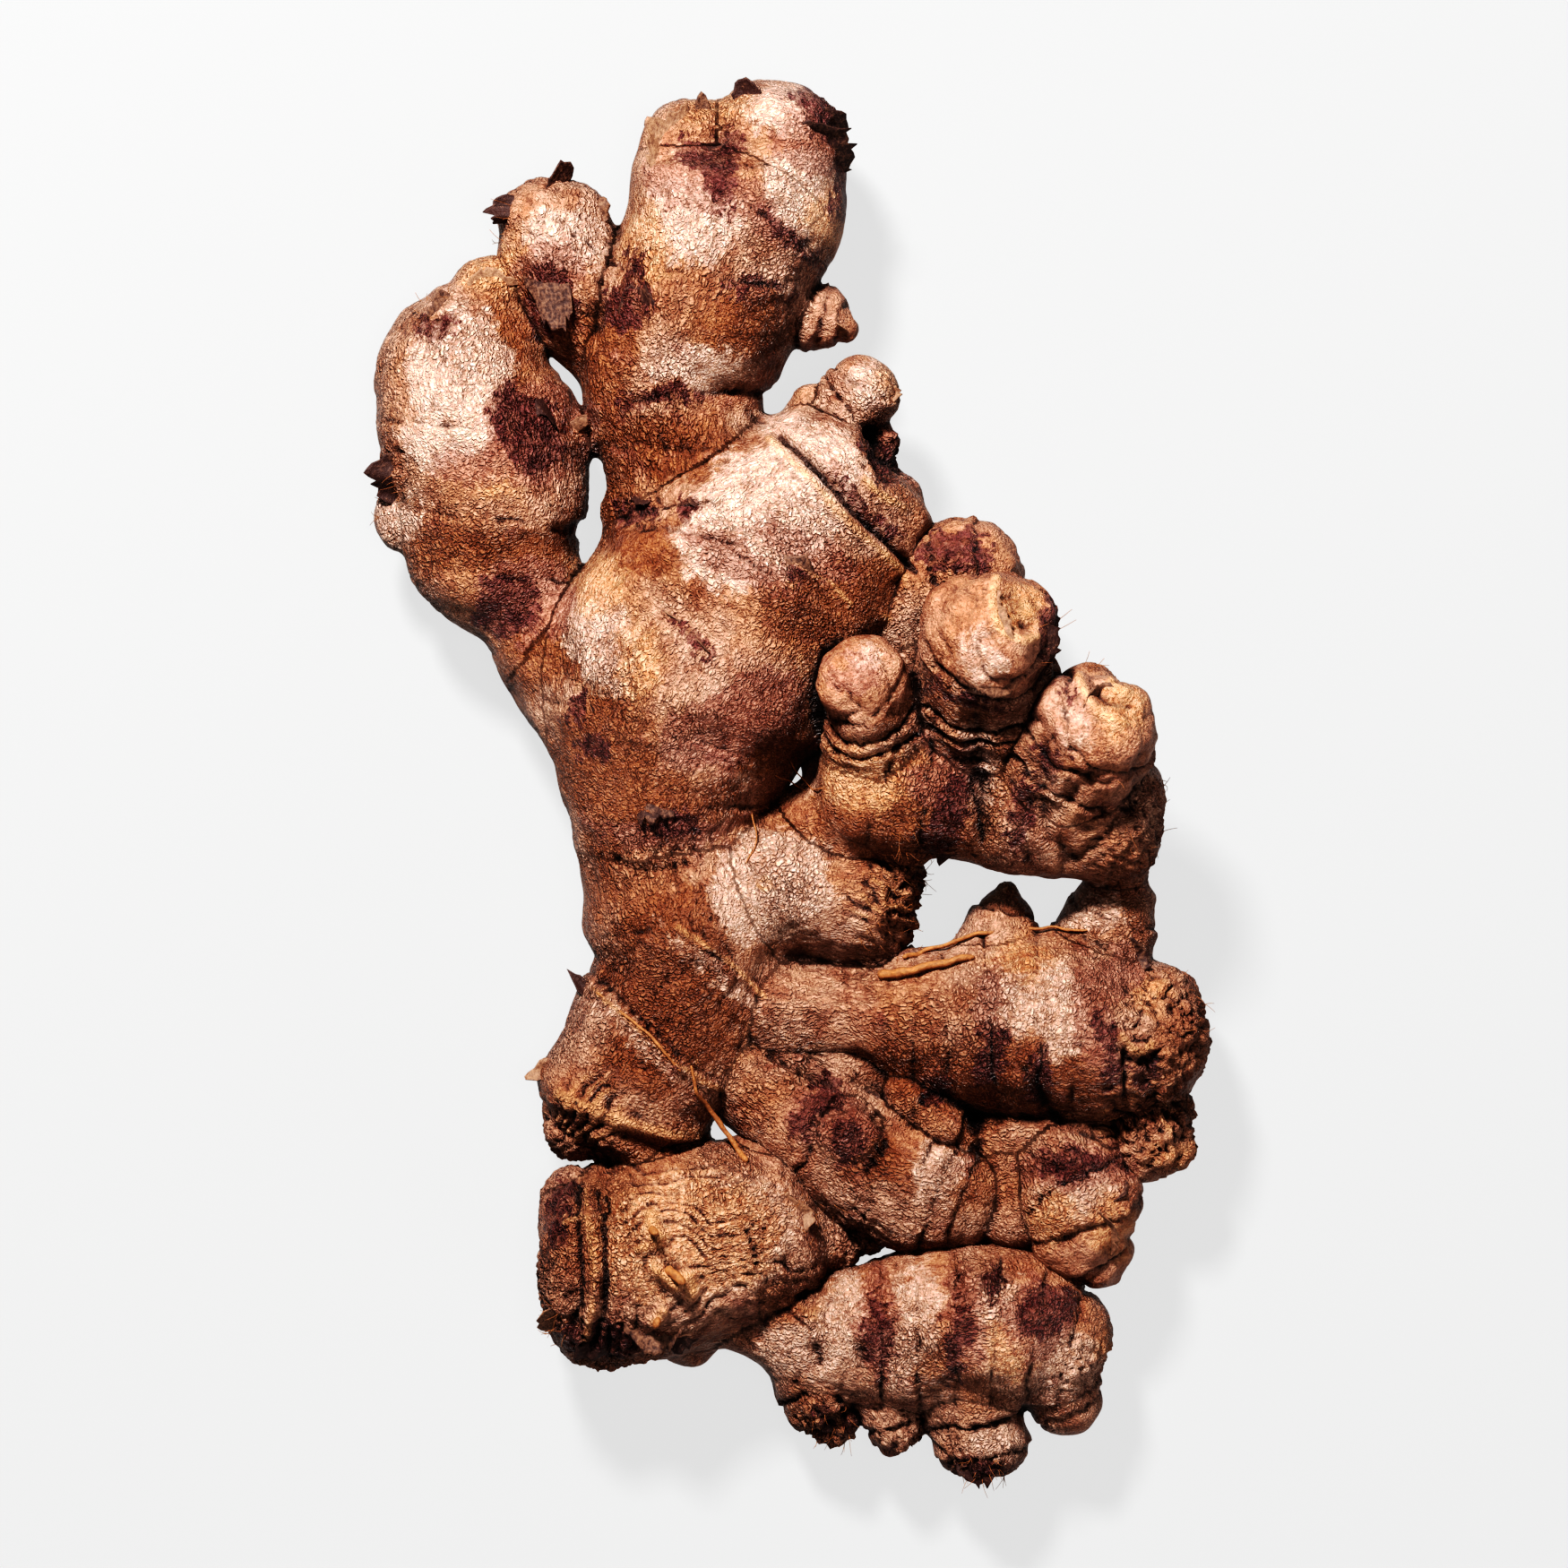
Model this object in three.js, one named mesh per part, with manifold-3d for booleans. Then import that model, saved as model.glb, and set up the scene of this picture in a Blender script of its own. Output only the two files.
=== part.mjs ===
// A hand of fresh ginger: one rhizome, grown as a single piece, lying on a table.
// The frame is +Z up with the table at Z = 0, +Y along the length of the hand and the origin under its middle.
// A rhizome is a row of swollen lobes, and each lobe here is a sphere drawn out along a curved axis.
// All the lobes are joined into one closed solid. Lengths are in millimetres.
import * as THREE from "three";
import { mergeVertices } from "three/addons/utils/BufferGeometryUtils.js";
import Module from "manifold-3d";

// Driving dimensions and fineness.
const DOME = 0.8; // length of a lobe's rounded end, as a share of its half width there
const FINGER_SIDES = 16; // sides of the section of a finger
const KNOB_SIDES = 10; // sides of the section of a bud, a toe or a lump
const DOME_ROWS = 3; // rows of faces on a rounded end
const ROW_PITCH = 0.66; // distance between rows, as a share of the mean half width
const SLAB = 60; // size of the block that flattens the spots where the hand rests

// A finger is a main lobe of the hand. Each station on its axis is [x, y, z, half width], and depth is its
// height over its width.
const FINGERS = {
  spine: {
    depth: 0.86,
    axis: [
      [-17.5, -8, 15.4, 12.4],
      [-16.6, 3, 17, 16.6],
      [-13.6, 14, 17.6, 21.4],
      [-5, 27, 18.2, 20.6],
      [3.4, 36.6, 18, 17],
      [10.4, 44.2, 17.4, 13.4],
    ],
    dome: 0.3,
  },
  trunk: {
    depth: 0.9,
    axis: [
      [-17.5, 0, 15, 12.6],
      [-17, -8, 14.6, 12.4],
      [-14.4, -18, 14, 14.6],
      [-14.6, -28, 13.6, 12.8],
      [-20.4, -39, 12.8, 12.6],
      [-26.4, -46.4, 12.2, 11.4],
    ],
    dome: 0.45,
  },
  top_finger: {
    depth: 0.95,
    axis: [
      [-13.6, 36, 15.6, 11],
      [-15, 47, 15, 11.2],
      [-16, 57, 15, 12.8],
      [-13.2, 66, 15.6, 14.8],
      [-9.6, 75, 16.4, 14.6],
      [-7.2, 84, 17.2, 14.9],
    ],
    dome: 0.45,
  },
  left_finger: {
    depth: 0.96,
    axis: [
      [-27, 14.4, 14.4, 10.4],
      [-35, 24.6, 13.6, 8.8],
      [-40.6, 33.6, 13.2, 12.4],
      [-41.6, 43, 13.3, 14],
      [-44.6, 53.4, 13.4, 14.3],
      [-44.8, 60, 13.8, 12.6],
      [-43.4, 65.8, 14.2, 9.2],
      [-42, 70.4, 14.6, 5.8],
    ],
    dome: 0.75,
  },
  upper_left_finger: {
    depth: 0.95,
    axis: [
      [-22, 58, 12, 5],
      [-26, 64, 12.6, 7.4],
      [-29.4, 70, 14, 8.6],
      [-31.8, 76, 15.4, 8.6],
      [-32.6, 80.4, 16, 7.7],
    ],
    dome: 0.75,
  },
  middle_arm: {
    depth: 1.02,
    axis: [
      [-10, -16, 13.4, 11],
      [-1, -13.6, 13.4, 11.6],
      [7, -14.6, 13.6, 10.6],
      [14, -16.2, 14, 9.8],
    ],
    dome: 0.5,
  },
  cluster_root: {
    depth: 1,
    axis: [
      [-3, -12, 13, 7],
      [7, -5.8, 17, 7.4],
      [15, -1.4, 21, 7.8],
    ],
  },
  cluster: {
    depth: 0.96,
    axis: [
      [12.4, 1, 22, 9.2],
      [18.5, -0.4, 22, 10.4],
      [26, -2, 22, 9.2],
      [35, -3, 22, 10],
      [45.8, -3.8, 21.6, 10],
    ],
  },
  right_finger: {
    depth: 1.03,
    axis: [
      [-2, -31.5, 13.6, 7.4],
      [9, -32, 13.8, 6.2],
      [18, -33, 14, 9.4],
      [26, -34, 13.8, 12.4],
      [36, -34.6, 13.4, 13.4],
      [45, -35.4, 14, 12.8],
      [52.4, -35.6, 14.8, 10.2],
    ],
    dome: 0.72,
  },
  bent_finger: {
    depth: 0.96,
    axis: [
      [-9, -37, 12, 7],
      [0, -44.4, 12, 8],
      [6, -49, 12.4, 9],
      [13, -54.4, 12.4, 10.4],
      [21, -57, 12, 9.6],
      [27, -58.6, 11.6, 7.6],
    ],
    dome: 0.5,
  },
  stump: {
    depth: 0.92,
    axis: [
      [2, -62.6, 12.8, 11],
      [-5, -64, 12.8, 13.2],
      [-15, -66.4, 12.9, 14.4],
      [-24, -68.4, 13, 14.4],
      [-30.8, -69, 12.8, 12.8],
    ],
    dome: 0.34,
  },
  bottom_finger: {
    depth: 0.96,
    axis: [
      [-12, -72, 11.6, 7],
      [-3, -75.6, 11.6, 6.4],
      [6, -78.4, 11.6, 8.4],
      [16, -78, 11.8, 10.6],
      [27, -77.2, 12, 11.9],
      [35, -78.4, 12, 11],
      [39.4, -80, 12, 8.4],
    ],
  },
};

// A knob is a small lobe: a bud, a toe, a lump or the stub of a bud that broke off.
const KNOBS = {
  crown_right: [[-3, 80, 17, 11], [-1.2, 91.8, 17.4, 9.8]],
  crown_left: [[-12, 80, 17, 9.6], [-13.4, 91.4, 17, 7.3]],
  side_bud: [[-1, 68, 15, 5], [5, 66, 15.4, 4.3], [9, 64.4, 15.4, 1.8]],
  left_low_knob: [[-50, 38, 13, 6], [-54.8, 37.8, 13.4, 4.1]],
  left_side_knob: [[-51, 45, 13, 6], [-57, 44.6, 13, 2]],
  slit_knob: [[-32, 49, 13, 4], [-28.6, 49.8, 14, 2.6]],
  neck_knob: [[-20, 38, 16, 6], [-24, 38.4, 17, 2.2]],
  plate_knob: [[6.8, 50.4, 16.6, 5.4], [11.4, 56.2, 17.6, 5.4]],
  plate_bump: [[3, 50, 16, 4.6], [3.9, 54.4, 16.4, 3]],
  plate_side: [[11, 45, 16, 5.6], [13, 49.4, 16.6, 3.2]],
  plate_corner: [[12.6, 40, 16, 7], [16.8, 40.8, 16, 3.4]],
  back_bud: [[15, 24, 17, 7.6], [23, 29.2, 18.4, 7.8], [28, 30.2, 18.8, 7.1]],
  cluster_back: [[10, 4, 15, 8], [14, 11, 15, 8.4], [22, 20, 15.6, 8]],
  big_bud: [[28, 6, 20, 10], [28, 13, 27, 10.4], [28.4, 18.8, 33.5, 9.2], [28.8, 21.8, 37, 9.5]],
  small_bud: [[15, 1, 21, 9], [12.6, 8.6, 27, 7.4], [10.7, 15.2, 34, 6.2]],
  right_bud: [[36, -1, 22, 8.6], [41, 4.2, 29, 9.2], [43.6, 7.8, 34, 8.5]],
  cluster_heel: [[46, -8, 19, 5.6], [47.4, -11.8, 17, 3.4]],
  left_ear: [[30, -24, 13.6, 7], [30.8, -18.4, 13.6, 4.4], [31.4, -15, 13.6, 1.6]],
  right_ear: [[44, -26, 13.6, 7.2], [46.4, -19, 13.8, 6.5], [47.4, -16.2, 14, 5.2]],
  low_knob: [[49, -42, 13, 6.4], [52.2, -51.6, 12.4, 5.7]],
  low_tip: [[53, -51, 12.6, 4], [55.4, -52.4, 12.8, 2.9]],
  low_side: [[52, -45, 13, 4.4], [56.2, -46.6, 13, 2.1]],
  bent_bud: [[8, -48, 14, 6], [9.4, -49.2, 19.4, 4.8]],
  bent_lump: [[9, -58, 9.6, 5], [10.8, -64.6, 9.4, 3.3]],
  neck_web: [[4, -38, 12, 4.6], [12, -40.6, 12, 4.8], [21, -45, 12, 4.8]],
  tongue: [[18, -43.8, 15, 4.8], [22.6, -48, 16.6, 4], [25.4, -50.4, 16.4, 2.4]],
  sausage: [[29.6, -49.6, 13.6, 4.6], [37, -49.8, 14.6, 5], [43.6, -51, 14, 4.4]],
  lump: [[32.4, -53, 12.6, 5.6], [32.4, -61.4, 12.2, 5.6]],
  amber_bud: [[38.4, -52, 13, 7.6], [41.6, -59.4, 13.6, 8.6], [43, -63.8, 13.6, 7], [45.4, -67.2, 13, 3.8]],
  stump_link: [[-20, -40, 10.8, 8], [-19, -50, 10.4, 7.6], [-18, -60, 10.8, 8]],
  stump_knob: [[-26, -60, 13, 5], [-31, -58.4, 13.4, 4]],
  stump_wart: [[-30, -64, 13, 4], [-33.6, -63.8, 13, 2]],
  stump_shelf: [[-4, -58, 12.4, 8], [-3, -52.8, 12.4, 4.4]],
  stump_foot: [[-25, -75, 10, 6.6], [-27, -79.6, 9, 5]],
  stump_corner: [[-12, -75, 9.6, 6], [-14.6, -79.8, 8.6, 4]],
  stump_bridge: [[1, -64, 12, 6], [8.6, -66.4, 11, 2.6]],
  trunk_corner: [[-26, -46, 12.2, 7], [-30.2, -49.2, 11.8, 5]],
  first_toe: [[3.2, -81.4, 10.2, 5.6], [5.4, -87, 9.6, 5.8], [7.6, -90.4, 9.4, 3.7]],
  second_toe: [[14, -84, 10.6, 5.8], [15.8, -91, 10, 4.3]],
  third_toe: [[26, -85, 11.2, 7.4], [28, -94.6, 10.6, 6.5]],
  fourth_toe: [[38, -83, 10.6, 7], [40.4, -88.4, 10, 4.8]],
  heel: [[38, -79, 11.6, 6], [43.4, -79.4, 12, 3]],
};

const wasm = await Module();
wasm.setup();

// The rows of a lobe from tip to tip: the centre, half width and direction of each.
function rowsOf(stations, dome) {
  const points = stations.map(([x, y, z]) => new THREE.Vector3(x, y, z));
  const axis = new THREE.CatmullRomCurve3(points, false, "catmullrom", 0.5);
  const widths = new THREE.SplineCurve(stations.map(([, , , w], i) => new THREE.Vector2(i, w)));
  const mean = stations.reduce((sum, s) => sum + s[3], 0) / stations.length;
  const steps = Math.max(2, Math.round(axis.getLength() / (mean * ROW_PITCH)));
  const rows = [];
  const addDome = (t, sign) => {
    const centre = axis.getPoint(t);
    const along = axis.getTangent(t);
    const width = widths.getPoint(t).y;
    for (let k = 0; k < DOME_ROWS; k++) {
      const step = sign < 0 ? k : k + 1;
      const turn = (step / DOME_ROWS) * (Math.PI / 2) + (sign < 0 ? 0 : Math.PI / 2);
      const reach = -Math.cos(turn) * dome * width;
      rows.push({
        centre: centre.clone().addScaledVector(along, reach),
        along,
        width: width * Math.max(0, Math.sin(turn)),
      });
    }
  };
  addDome(0, -1);
  for (let i = 0; i <= steps; i++) {
    const t = i / steps;
    rows.push({ centre: axis.getPoint(t), along: axis.getTangent(t), width: widths.getPoint(t).y });
  }
  addDome(1, 1);
  return rows;
}

// A lobe: a sphere whose rows of vertices are moved onto the rows of the lobe.
function lobe(stations, { sides, depth = 1, dome = DOME }) {
  const rows = rowsOf(stations, dome);
  const sphere = new THREE.SphereGeometry(1, sides, rows.length - 1);
  const place = sphere.getAttribute("position");
  const steep = Math.abs(rows[0].along.z) > 0.8;
  const side = new THREE.Vector3(steep ? -1 : 0, 0, steep ? 0 : 1).cross(rows[0].along).normalize();
  for (const [r, row] of rows.entries()) {
    side.addScaledVector(row.along, -side.dot(row.along)).normalize();
    const up = row.along.clone().cross(side);
    for (let c = 0; c <= sides; c++) {
      const angle = ((c % sides) / sides) * 2 * Math.PI;
      const point = row.centre.clone();
      point.addScaledVector(side, -Math.cos(angle) * row.width);
      point.addScaledVector(up, Math.sin(angle) * row.width * depth);
      place.setXYZ(r * (sides + 1) + c, point.x, point.y, point.z);
    }
  }
  return solidOf(sphere);
}

// A closed geometry as a solid that can be joined and cut.
function solidOf(geometry) {
  geometry.deleteAttribute("normal");
  geometry.deleteAttribute("uv");
  const merged = mergeVertices(geometry, 1e-3);
  return new wasm.Manifold(
    new wasm.Mesh({
      numProp: 3,
      vertProperties: merged.getAttribute("position").array,
      triVerts: new Uint32Array(merged.index.array),
    }),
  );
}

// The block under the table top, which takes a little off the lowest lobes so that the hand lies on small flats.
function tableBlock() {
  return solidOf(new THREE.BoxGeometry(SLAB * 4, SLAB * 4, SLAB).translate(0, 0, -SLAB / 2));
}

// The joined solid as a geometry with its origin under the middle of the hand.
function geometryOf(solid) {
  const { vertProperties, triVerts } = solid.getMesh();
  const geometry = new THREE.BufferGeometry();
  geometry.setAttribute("position", new THREE.BufferAttribute(vertProperties, 3));
  geometry.setIndex(new THREE.BufferAttribute(triVerts, 1));
  geometry.computeBoundingBox();
  const middle = geometry.boundingBox.getCenter(new THREE.Vector3());
  geometry.translate(-middle.x, -middle.y, 0);
  geometry.computeVertexNormals();
  return geometry;
}

const lobes = [
  ...Object.values(FINGERS).map(({ axis, ...shape }) => lobe(axis, { sides: FINGER_SIDES, ...shape })),
  ...Object.values(KNOBS).map((axis) => lobe(axis, { sides: KNOB_SIDES })),
];
const hand = lobes.reduce((joined, next) => joined.add(next)).subtract(tableBlock());

const skin = new THREE.MeshStandardMaterial({ color: 0xb98a63, roughness: 0.6, metalness: 0 });
const rhizome = new THREE.Mesh(geometryOf(hand), skin);
rhizome.name = "rhizome";

const ginger = new THREE.Group();
ginger.add(rhizome);

export default ginger;
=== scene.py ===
# %% [markdown]
# # A hand of fresh ginger
# The object is one rhizome of ginger, 200 mm long, lying flat on a table. It is a natural thing that
# grew as a single body, so there is one big piece of skin, plus the thin dry bits that hang on to it:
# papery scale leaves and thread-like rootlets.
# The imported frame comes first, because the skin has to fill the same box as its solid.

# %% Load the frame
import math

import bpy
import numpy as np
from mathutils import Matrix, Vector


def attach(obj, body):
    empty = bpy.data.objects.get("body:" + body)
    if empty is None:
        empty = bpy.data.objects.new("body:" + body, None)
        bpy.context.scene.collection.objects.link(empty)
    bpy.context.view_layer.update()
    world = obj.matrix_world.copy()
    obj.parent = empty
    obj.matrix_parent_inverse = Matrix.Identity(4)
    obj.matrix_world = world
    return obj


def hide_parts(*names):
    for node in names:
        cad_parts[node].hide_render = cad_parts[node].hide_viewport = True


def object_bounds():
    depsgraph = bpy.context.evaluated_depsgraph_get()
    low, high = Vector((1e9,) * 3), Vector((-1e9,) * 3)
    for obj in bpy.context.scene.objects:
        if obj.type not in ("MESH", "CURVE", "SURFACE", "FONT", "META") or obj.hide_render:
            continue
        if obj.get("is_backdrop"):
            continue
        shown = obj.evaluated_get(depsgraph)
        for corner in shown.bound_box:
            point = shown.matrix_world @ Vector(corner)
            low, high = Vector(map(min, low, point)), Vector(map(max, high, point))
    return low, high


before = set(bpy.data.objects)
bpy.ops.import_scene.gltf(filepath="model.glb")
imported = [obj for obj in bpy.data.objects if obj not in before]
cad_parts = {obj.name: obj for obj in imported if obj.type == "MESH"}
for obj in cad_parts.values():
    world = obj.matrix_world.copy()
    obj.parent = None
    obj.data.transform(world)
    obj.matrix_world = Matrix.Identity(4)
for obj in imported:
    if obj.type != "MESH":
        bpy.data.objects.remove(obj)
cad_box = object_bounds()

import openvdb
from mathutils import Vector

MM = 0.001
TINY = 1e-9  # keeps a divisor or the end of a range clear of nought
print("frame box", cad_box)

# %% [markdown]
# ## The plan of the hand
# A rhizome is a row of swollen lobes. Each one is written here as stations along its axis,
# [x, y, z, half width] in millimetres, close to the ones that the solid is made from. Two numbers come
# before them: a lobe's height over its width, and how long its rounded end is, as a share of the half
# width there.
# The lobes are grouped by limb: inside a limb they flow into one another, while two limbs that only
# press together keep a sharp crease between them.

# %% Stations of the lobes
MIDDLE = (0.551, -0.068)  # what centres the stations on the frame's origin, mm
KNOB_DOME = 0.8  # rounded end of a lobe that states none

LIMBS = {
    "main": {
        "spine": (0.86, 0.3, [
            (-17.5, -8, 15.4, 12.4), (-16.6, 3, 17, 16.6), (-13.6, 14, 17.6, 21.4), (-5, 27, 18.2, 20.6),
            (3.4, 36.6, 18, 17), (10.4, 44.2, 17.4, 13.4),
        ]),
        "trunk": (0.9, 0.45, [
            (-17.5, 0, 15, 12.6), (-17, -8, 14.6, 12.4), (-14.4, -18, 14, 14.6), (-14.6, -28, 13.6, 12.8),
            (-20.4, -39, 12.8, 12.6), (-26.4, -46.4, 12.2, 11.4),
        ]),
        "trunk_corner": (1, KNOB_DOME, [(-26, -46, 12.2, 7), (-30.2, -49.2, 11.8, 5)]),
        "middle_arm": (1.02, 0.5, [
            (-10, -16, 13.4, 11), (-1, -13.6, 13.4, 11.6), (7, -14.6, 13.6, 10.6), (14, -16.2, 14, 9.8),
        ]),
        "plate_knob": (1, KNOB_DOME, [(6.8, 50.4, 16.6, 5.4), (11.4, 56.2, 17.6, 5.4)]),
        "plate_bump": (1, KNOB_DOME, [(3, 50, 16, 4.6), (3.9, 54.4, 16.4, 3)]),
        "plate_side": (1, KNOB_DOME, [(11, 45, 16, 5.6), (13, 49.4, 16.6, 3.2)]),
        "plate_corner": (1, KNOB_DOME, [(12.6, 40, 16, 7), (16.8, 40.8, 16, 3.4)]),
        "neck_knob": (1, KNOB_DOME, [(-20, 38, 16, 6), (-24, 38.4, 17, 2.2)]),
        "top_finger": (0.95, 0.45, [
            (-13.6, 36, 15.6, 11), (-15, 47, 15, 11.2), (-16, 57, 15, 12.8), (-13.2, 66, 15.6, 14.8),
            (-9.6, 75, 16.4, 14.6), (-7.2, 84, 17.2, 14.9),
        ]),
        "crown_right": (1, KNOB_DOME, [(-3, 80, 17, 11), (-1.2, 91.8, 17.4, 9.8)]),
        "crown_left": (1, KNOB_DOME, [(-12, 80, 17, 9.6), (-13.4, 91.4, 17, 7.3)]),
        "side_bud": (1, KNOB_DOME, [(-1, 68, 15, 5), (5, 66, 15.4, 4.3), (9, 64.4, 15.4, 1.8)]),
        "left_root": (0.96, 0.5, [(-19, 8, 15.4, 12), (-26, 13.6, 14.6, 10.8), (-33, 22, 13.8, 8.8)]),
    },
    "upper_left": {
        "upper_left_finger": (0.95, 0.75, [
            (-22, 58, 12, 5), (-26, 64, 12.6, 7.4), (-29.4, 70, 14, 8.6), (-31.8, 76, 15.4, 8.6),
            (-32.6, 80.4, 16, 7.7),
        ]),
    },
    "left": {
        "slit_knob": (1, KNOB_DOME, [(-32, 49, 13, 4), (-28.6, 49.8, 14, 2.6)]),
        "left_finger": (0.96, 0.75, [
            (-27, 14.4, 14.4, 10.4), (-35, 24.6, 13.6, 8.8), (-40.6, 33.6, 13.2, 12.4), (-41.6, 43, 13.3, 14),
            (-44.6, 53.4, 13.4, 14.3), (-44.8, 60, 13.8, 12.6), (-43.4, 65.8, 14.2, 9.2),
            (-42, 70.4, 14.6, 5.8),
        ]),
        "left_low_knob": (1, KNOB_DOME, [(-50, 38, 13, 6), (-54.8, 37.8, 13.4, 4.1)]),
        "left_side_knob": (1, KNOB_DOME, [(-51, 45, 13, 6), (-57, 44.6, 13, 2)]),
    },
    "cluster": {
        "cluster_root": (1, KNOB_DOME, [(-3, -12, 13, 7), (7, -5.8, 17, 7.4), (15, -1.4, 21, 7.8)]),
        "cluster": (0.96, KNOB_DOME, [
            (12.4, 1, 22, 9.2), (18.5, -0.4, 22, 10.4), (26, -2, 22, 8.6), (35, -3, 22, 10),
            (45.8, -3.8, 21.6, 10),
        ]),
        "back_bud": (1, KNOB_DOME, [(15, 24, 17, 7.6), (23, 29.2, 18.4, 7.8), (28, 30.2, 18.8, 7.1)]),
        "cluster_back": (1, KNOB_DOME, [(10, 4, 15, 8), (14, 11, 15, 8.4), (22, 20, 15.6, 8)]),
        "big_bud": (1, KNOB_DOME, [
            (28, 6, 20, 10), (27.6, 13, 27, 10), (27.8, 18.6, 33.5, 8.8), (28.2, 21.6, 37, 9.1),
        ]),
        "small_bud": (1, KNOB_DOME, [(15, 1, 21, 9), (12.6, 8.6, 27, 7.4), (10.7, 15.2, 34, 6.2)]),
        "right_bud": (1, KNOB_DOME, [(36, -1, 22, 8.6), (41, 4.2, 29, 9.2), (43.6, 7.8, 34, 8.5)]),
        "cluster_heel": (1, KNOB_DOME, [(46, -8, 19, 5.6), (47.4, -11.8, 17, 3.4)]),
    },
    "right": {
        "right_finger": (1.03, 0.72, [
            (-2, -31.5, 13.6, 7.4), (9, -32, 13.8, 6.2), (18, -33, 14, 9.4), (26, -34, 13.8, 12.4),
            (36, -34.6, 13.4, 13.4), (45, -35.4, 14, 12.8), (52.4, -35.6, 14.8, 10.2),
        ]),
        "left_ear": (1, KNOB_DOME, [(30, -24, 13.6, 7), (30.8, -18.4, 13.6, 4.4), (31.4, -15, 13.6, 1.6)]),
        "right_ear": (1, KNOB_DOME, [(44, -26, 13.6, 7.2), (46.4, -19, 13.8, 6.5), (47.4, -16.2, 14, 5.2)]),
        "low_knob": (1, KNOB_DOME, [(49, -42, 13, 6.4), (52.2, -51.6, 12.4, 5.7)]),
        "low_tip": (1, KNOB_DOME, [(53, -51, 12.6, 4), (55.4, -52.4, 12.8, 2.9)]),
        "low_side": (1, KNOB_DOME, [(52, -45, 13, 4.4), (56.2, -46.6, 13, 2.1)]),
    },
    "bent": {
        "bent_finger": (0.96, 0.5, [
            (-9, -37, 12, 7), (0, -44.4, 12, 8), (6, -49, 12.4, 9), (13.8, -54.2, 12.4, 9.9),
            (21, -57, 12, 9.6), (27, -58.6, 11.6, 7.6),
        ]),
        "bent_bud": (1, KNOB_DOME, [(8, -48, 14, 6), (9.4, -49.2, 19.4, 4.8)]),
        "bent_lump": (1, KNOB_DOME, [(10, -58, 9.6, 4.6), (10.8, -64.6, 9.4, 3.3)]),
        "neck_web": (1, KNOB_DOME, [(4, -38, 12, 4.6), (12, -40.6, 12, 4.8), (21, -45, 12, 4.8)]),
    },
    "tongue": {
        "tongue": (1, KNOB_DOME, [(18, -43.8, 15, 4.8), (22.6, -48, 16.6, 4), (25.4, -50.4, 16.4, 2.4)]),
    },
    "amber": {
        "sausage": (1, KNOB_DOME, [(29.6, -49.6, 13.6, 4.6), (37, -49.8, 14.6, 5), (43.6, -51, 14, 4.4)]),
        "lump": (1, KNOB_DOME, [(32.4, -53, 12.6, 5.6), (32.4, -61.4, 12.2, 5.6)]),
        "amber_bud": (1, KNOB_DOME, [
            (38.4, -52, 13, 7.6), (41.6, -59.4, 13.6, 8.6), (43, -63.8, 13.6, 7), (45.4, -67.2, 13, 3.8),
        ]),
    },
    "stump": {
        "stump": (0.92, 0.34, [
            (0.6, -62.4, 12.8, 10.6), (-5, -64, 12.8, 13), (-15, -66.4, 12.9, 14.4), (-24, -68.4, 13, 14.4),
            (-30.8, -69, 12.8, 12.8),
        ]),
        "stump_link": (1, KNOB_DOME, [(-20, -40, 10.8, 8), (-19, -50, 10.4, 7.6), (-18, -60, 10.8, 8)]),
        "stump_knob": (1, KNOB_DOME, [(-26, -60, 13, 5), (-31, -58.4, 13.4, 4)]),
        "stump_wart": (1, KNOB_DOME, [(-30, -64, 13, 4), (-33.6, -63.8, 13, 2)]),
        "stump_shelf": (1, KNOB_DOME, [(-4, -58, 12.4, 8), (-3, -52.8, 12.4, 4.4)]),
        "stump_foot": (1, KNOB_DOME, [(-25, -75, 10, 6.6), (-27, -79.6, 9, 5)]),
        "stump_corner": (1, KNOB_DOME, [(-12, -75, 9.6, 6), (-14.6, -79.8, 8.6, 4)]),
        "stump_bridge": (1, KNOB_DOME, [(1, -64, 12, 6), (8.6, -66.4, 11, 2.6)]),
    },
    "bottom": {
        "bottom_finger": (0.96, KNOB_DOME, [
            (-12, -72, 11.6, 7), (-3, -75.6, 11.6, 6.4), (6, -78.4, 11.6, 8.4), (16, -78, 11.8, 10.6),
            (27, -77.2, 12, 11.9), (35, -78.4, 12, 11), (39.4, -80, 12, 8.4),
        ]),
        "first_toe": (1, KNOB_DOME, [(3.2, -81.4, 10.2, 5.6), (5.4, -87, 9.6, 5.8), (7.6, -90.4, 9.4, 3.7)]),
        "second_toe": (1, KNOB_DOME, [(14, -84, 10.6, 5.8), (15.8, -91, 10, 4.3)]),
        "third_toe": (1, KNOB_DOME, [(26, -85, 11.2, 7.4), (28, -94.6, 10.6, 6.5)]),
        "fourth_toe": (1, KNOB_DOME, [(38, -83, 10.6, 7), (40.4, -88.4, 10, 4.8)]),
        "heel": (1, KNOB_DOME, [(38, -79, 11.6, 6), (43.4, -79.4, 12, 3)]),
    },
}
print(sum(len(limb) for limb in LIMBS.values()), "lobes in", len(LIMBS), "limbs")

# %% [markdown]
# ## How far a point is from a lobe
# Joining meshes would leave hard seams where the real limbs flow together. A distance field does better:
# for every point of a fine grid, work out how deep it is inside each lobe, and blend those depths where
# lobes meet. The lobe's axis is a Catmull-Rom curve through its stations.

# %% Axis of a lobe
AXIS_STEP = 0.8  # distance between samples of an axis, mm
FEWEST_SAMPLES = 4
STEEP = 0.8  # how much an axis may rise per millimetre before another direction serves as up
NEAR_AXIS = 0.2  # share of the half width within which a simpler distance does


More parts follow.
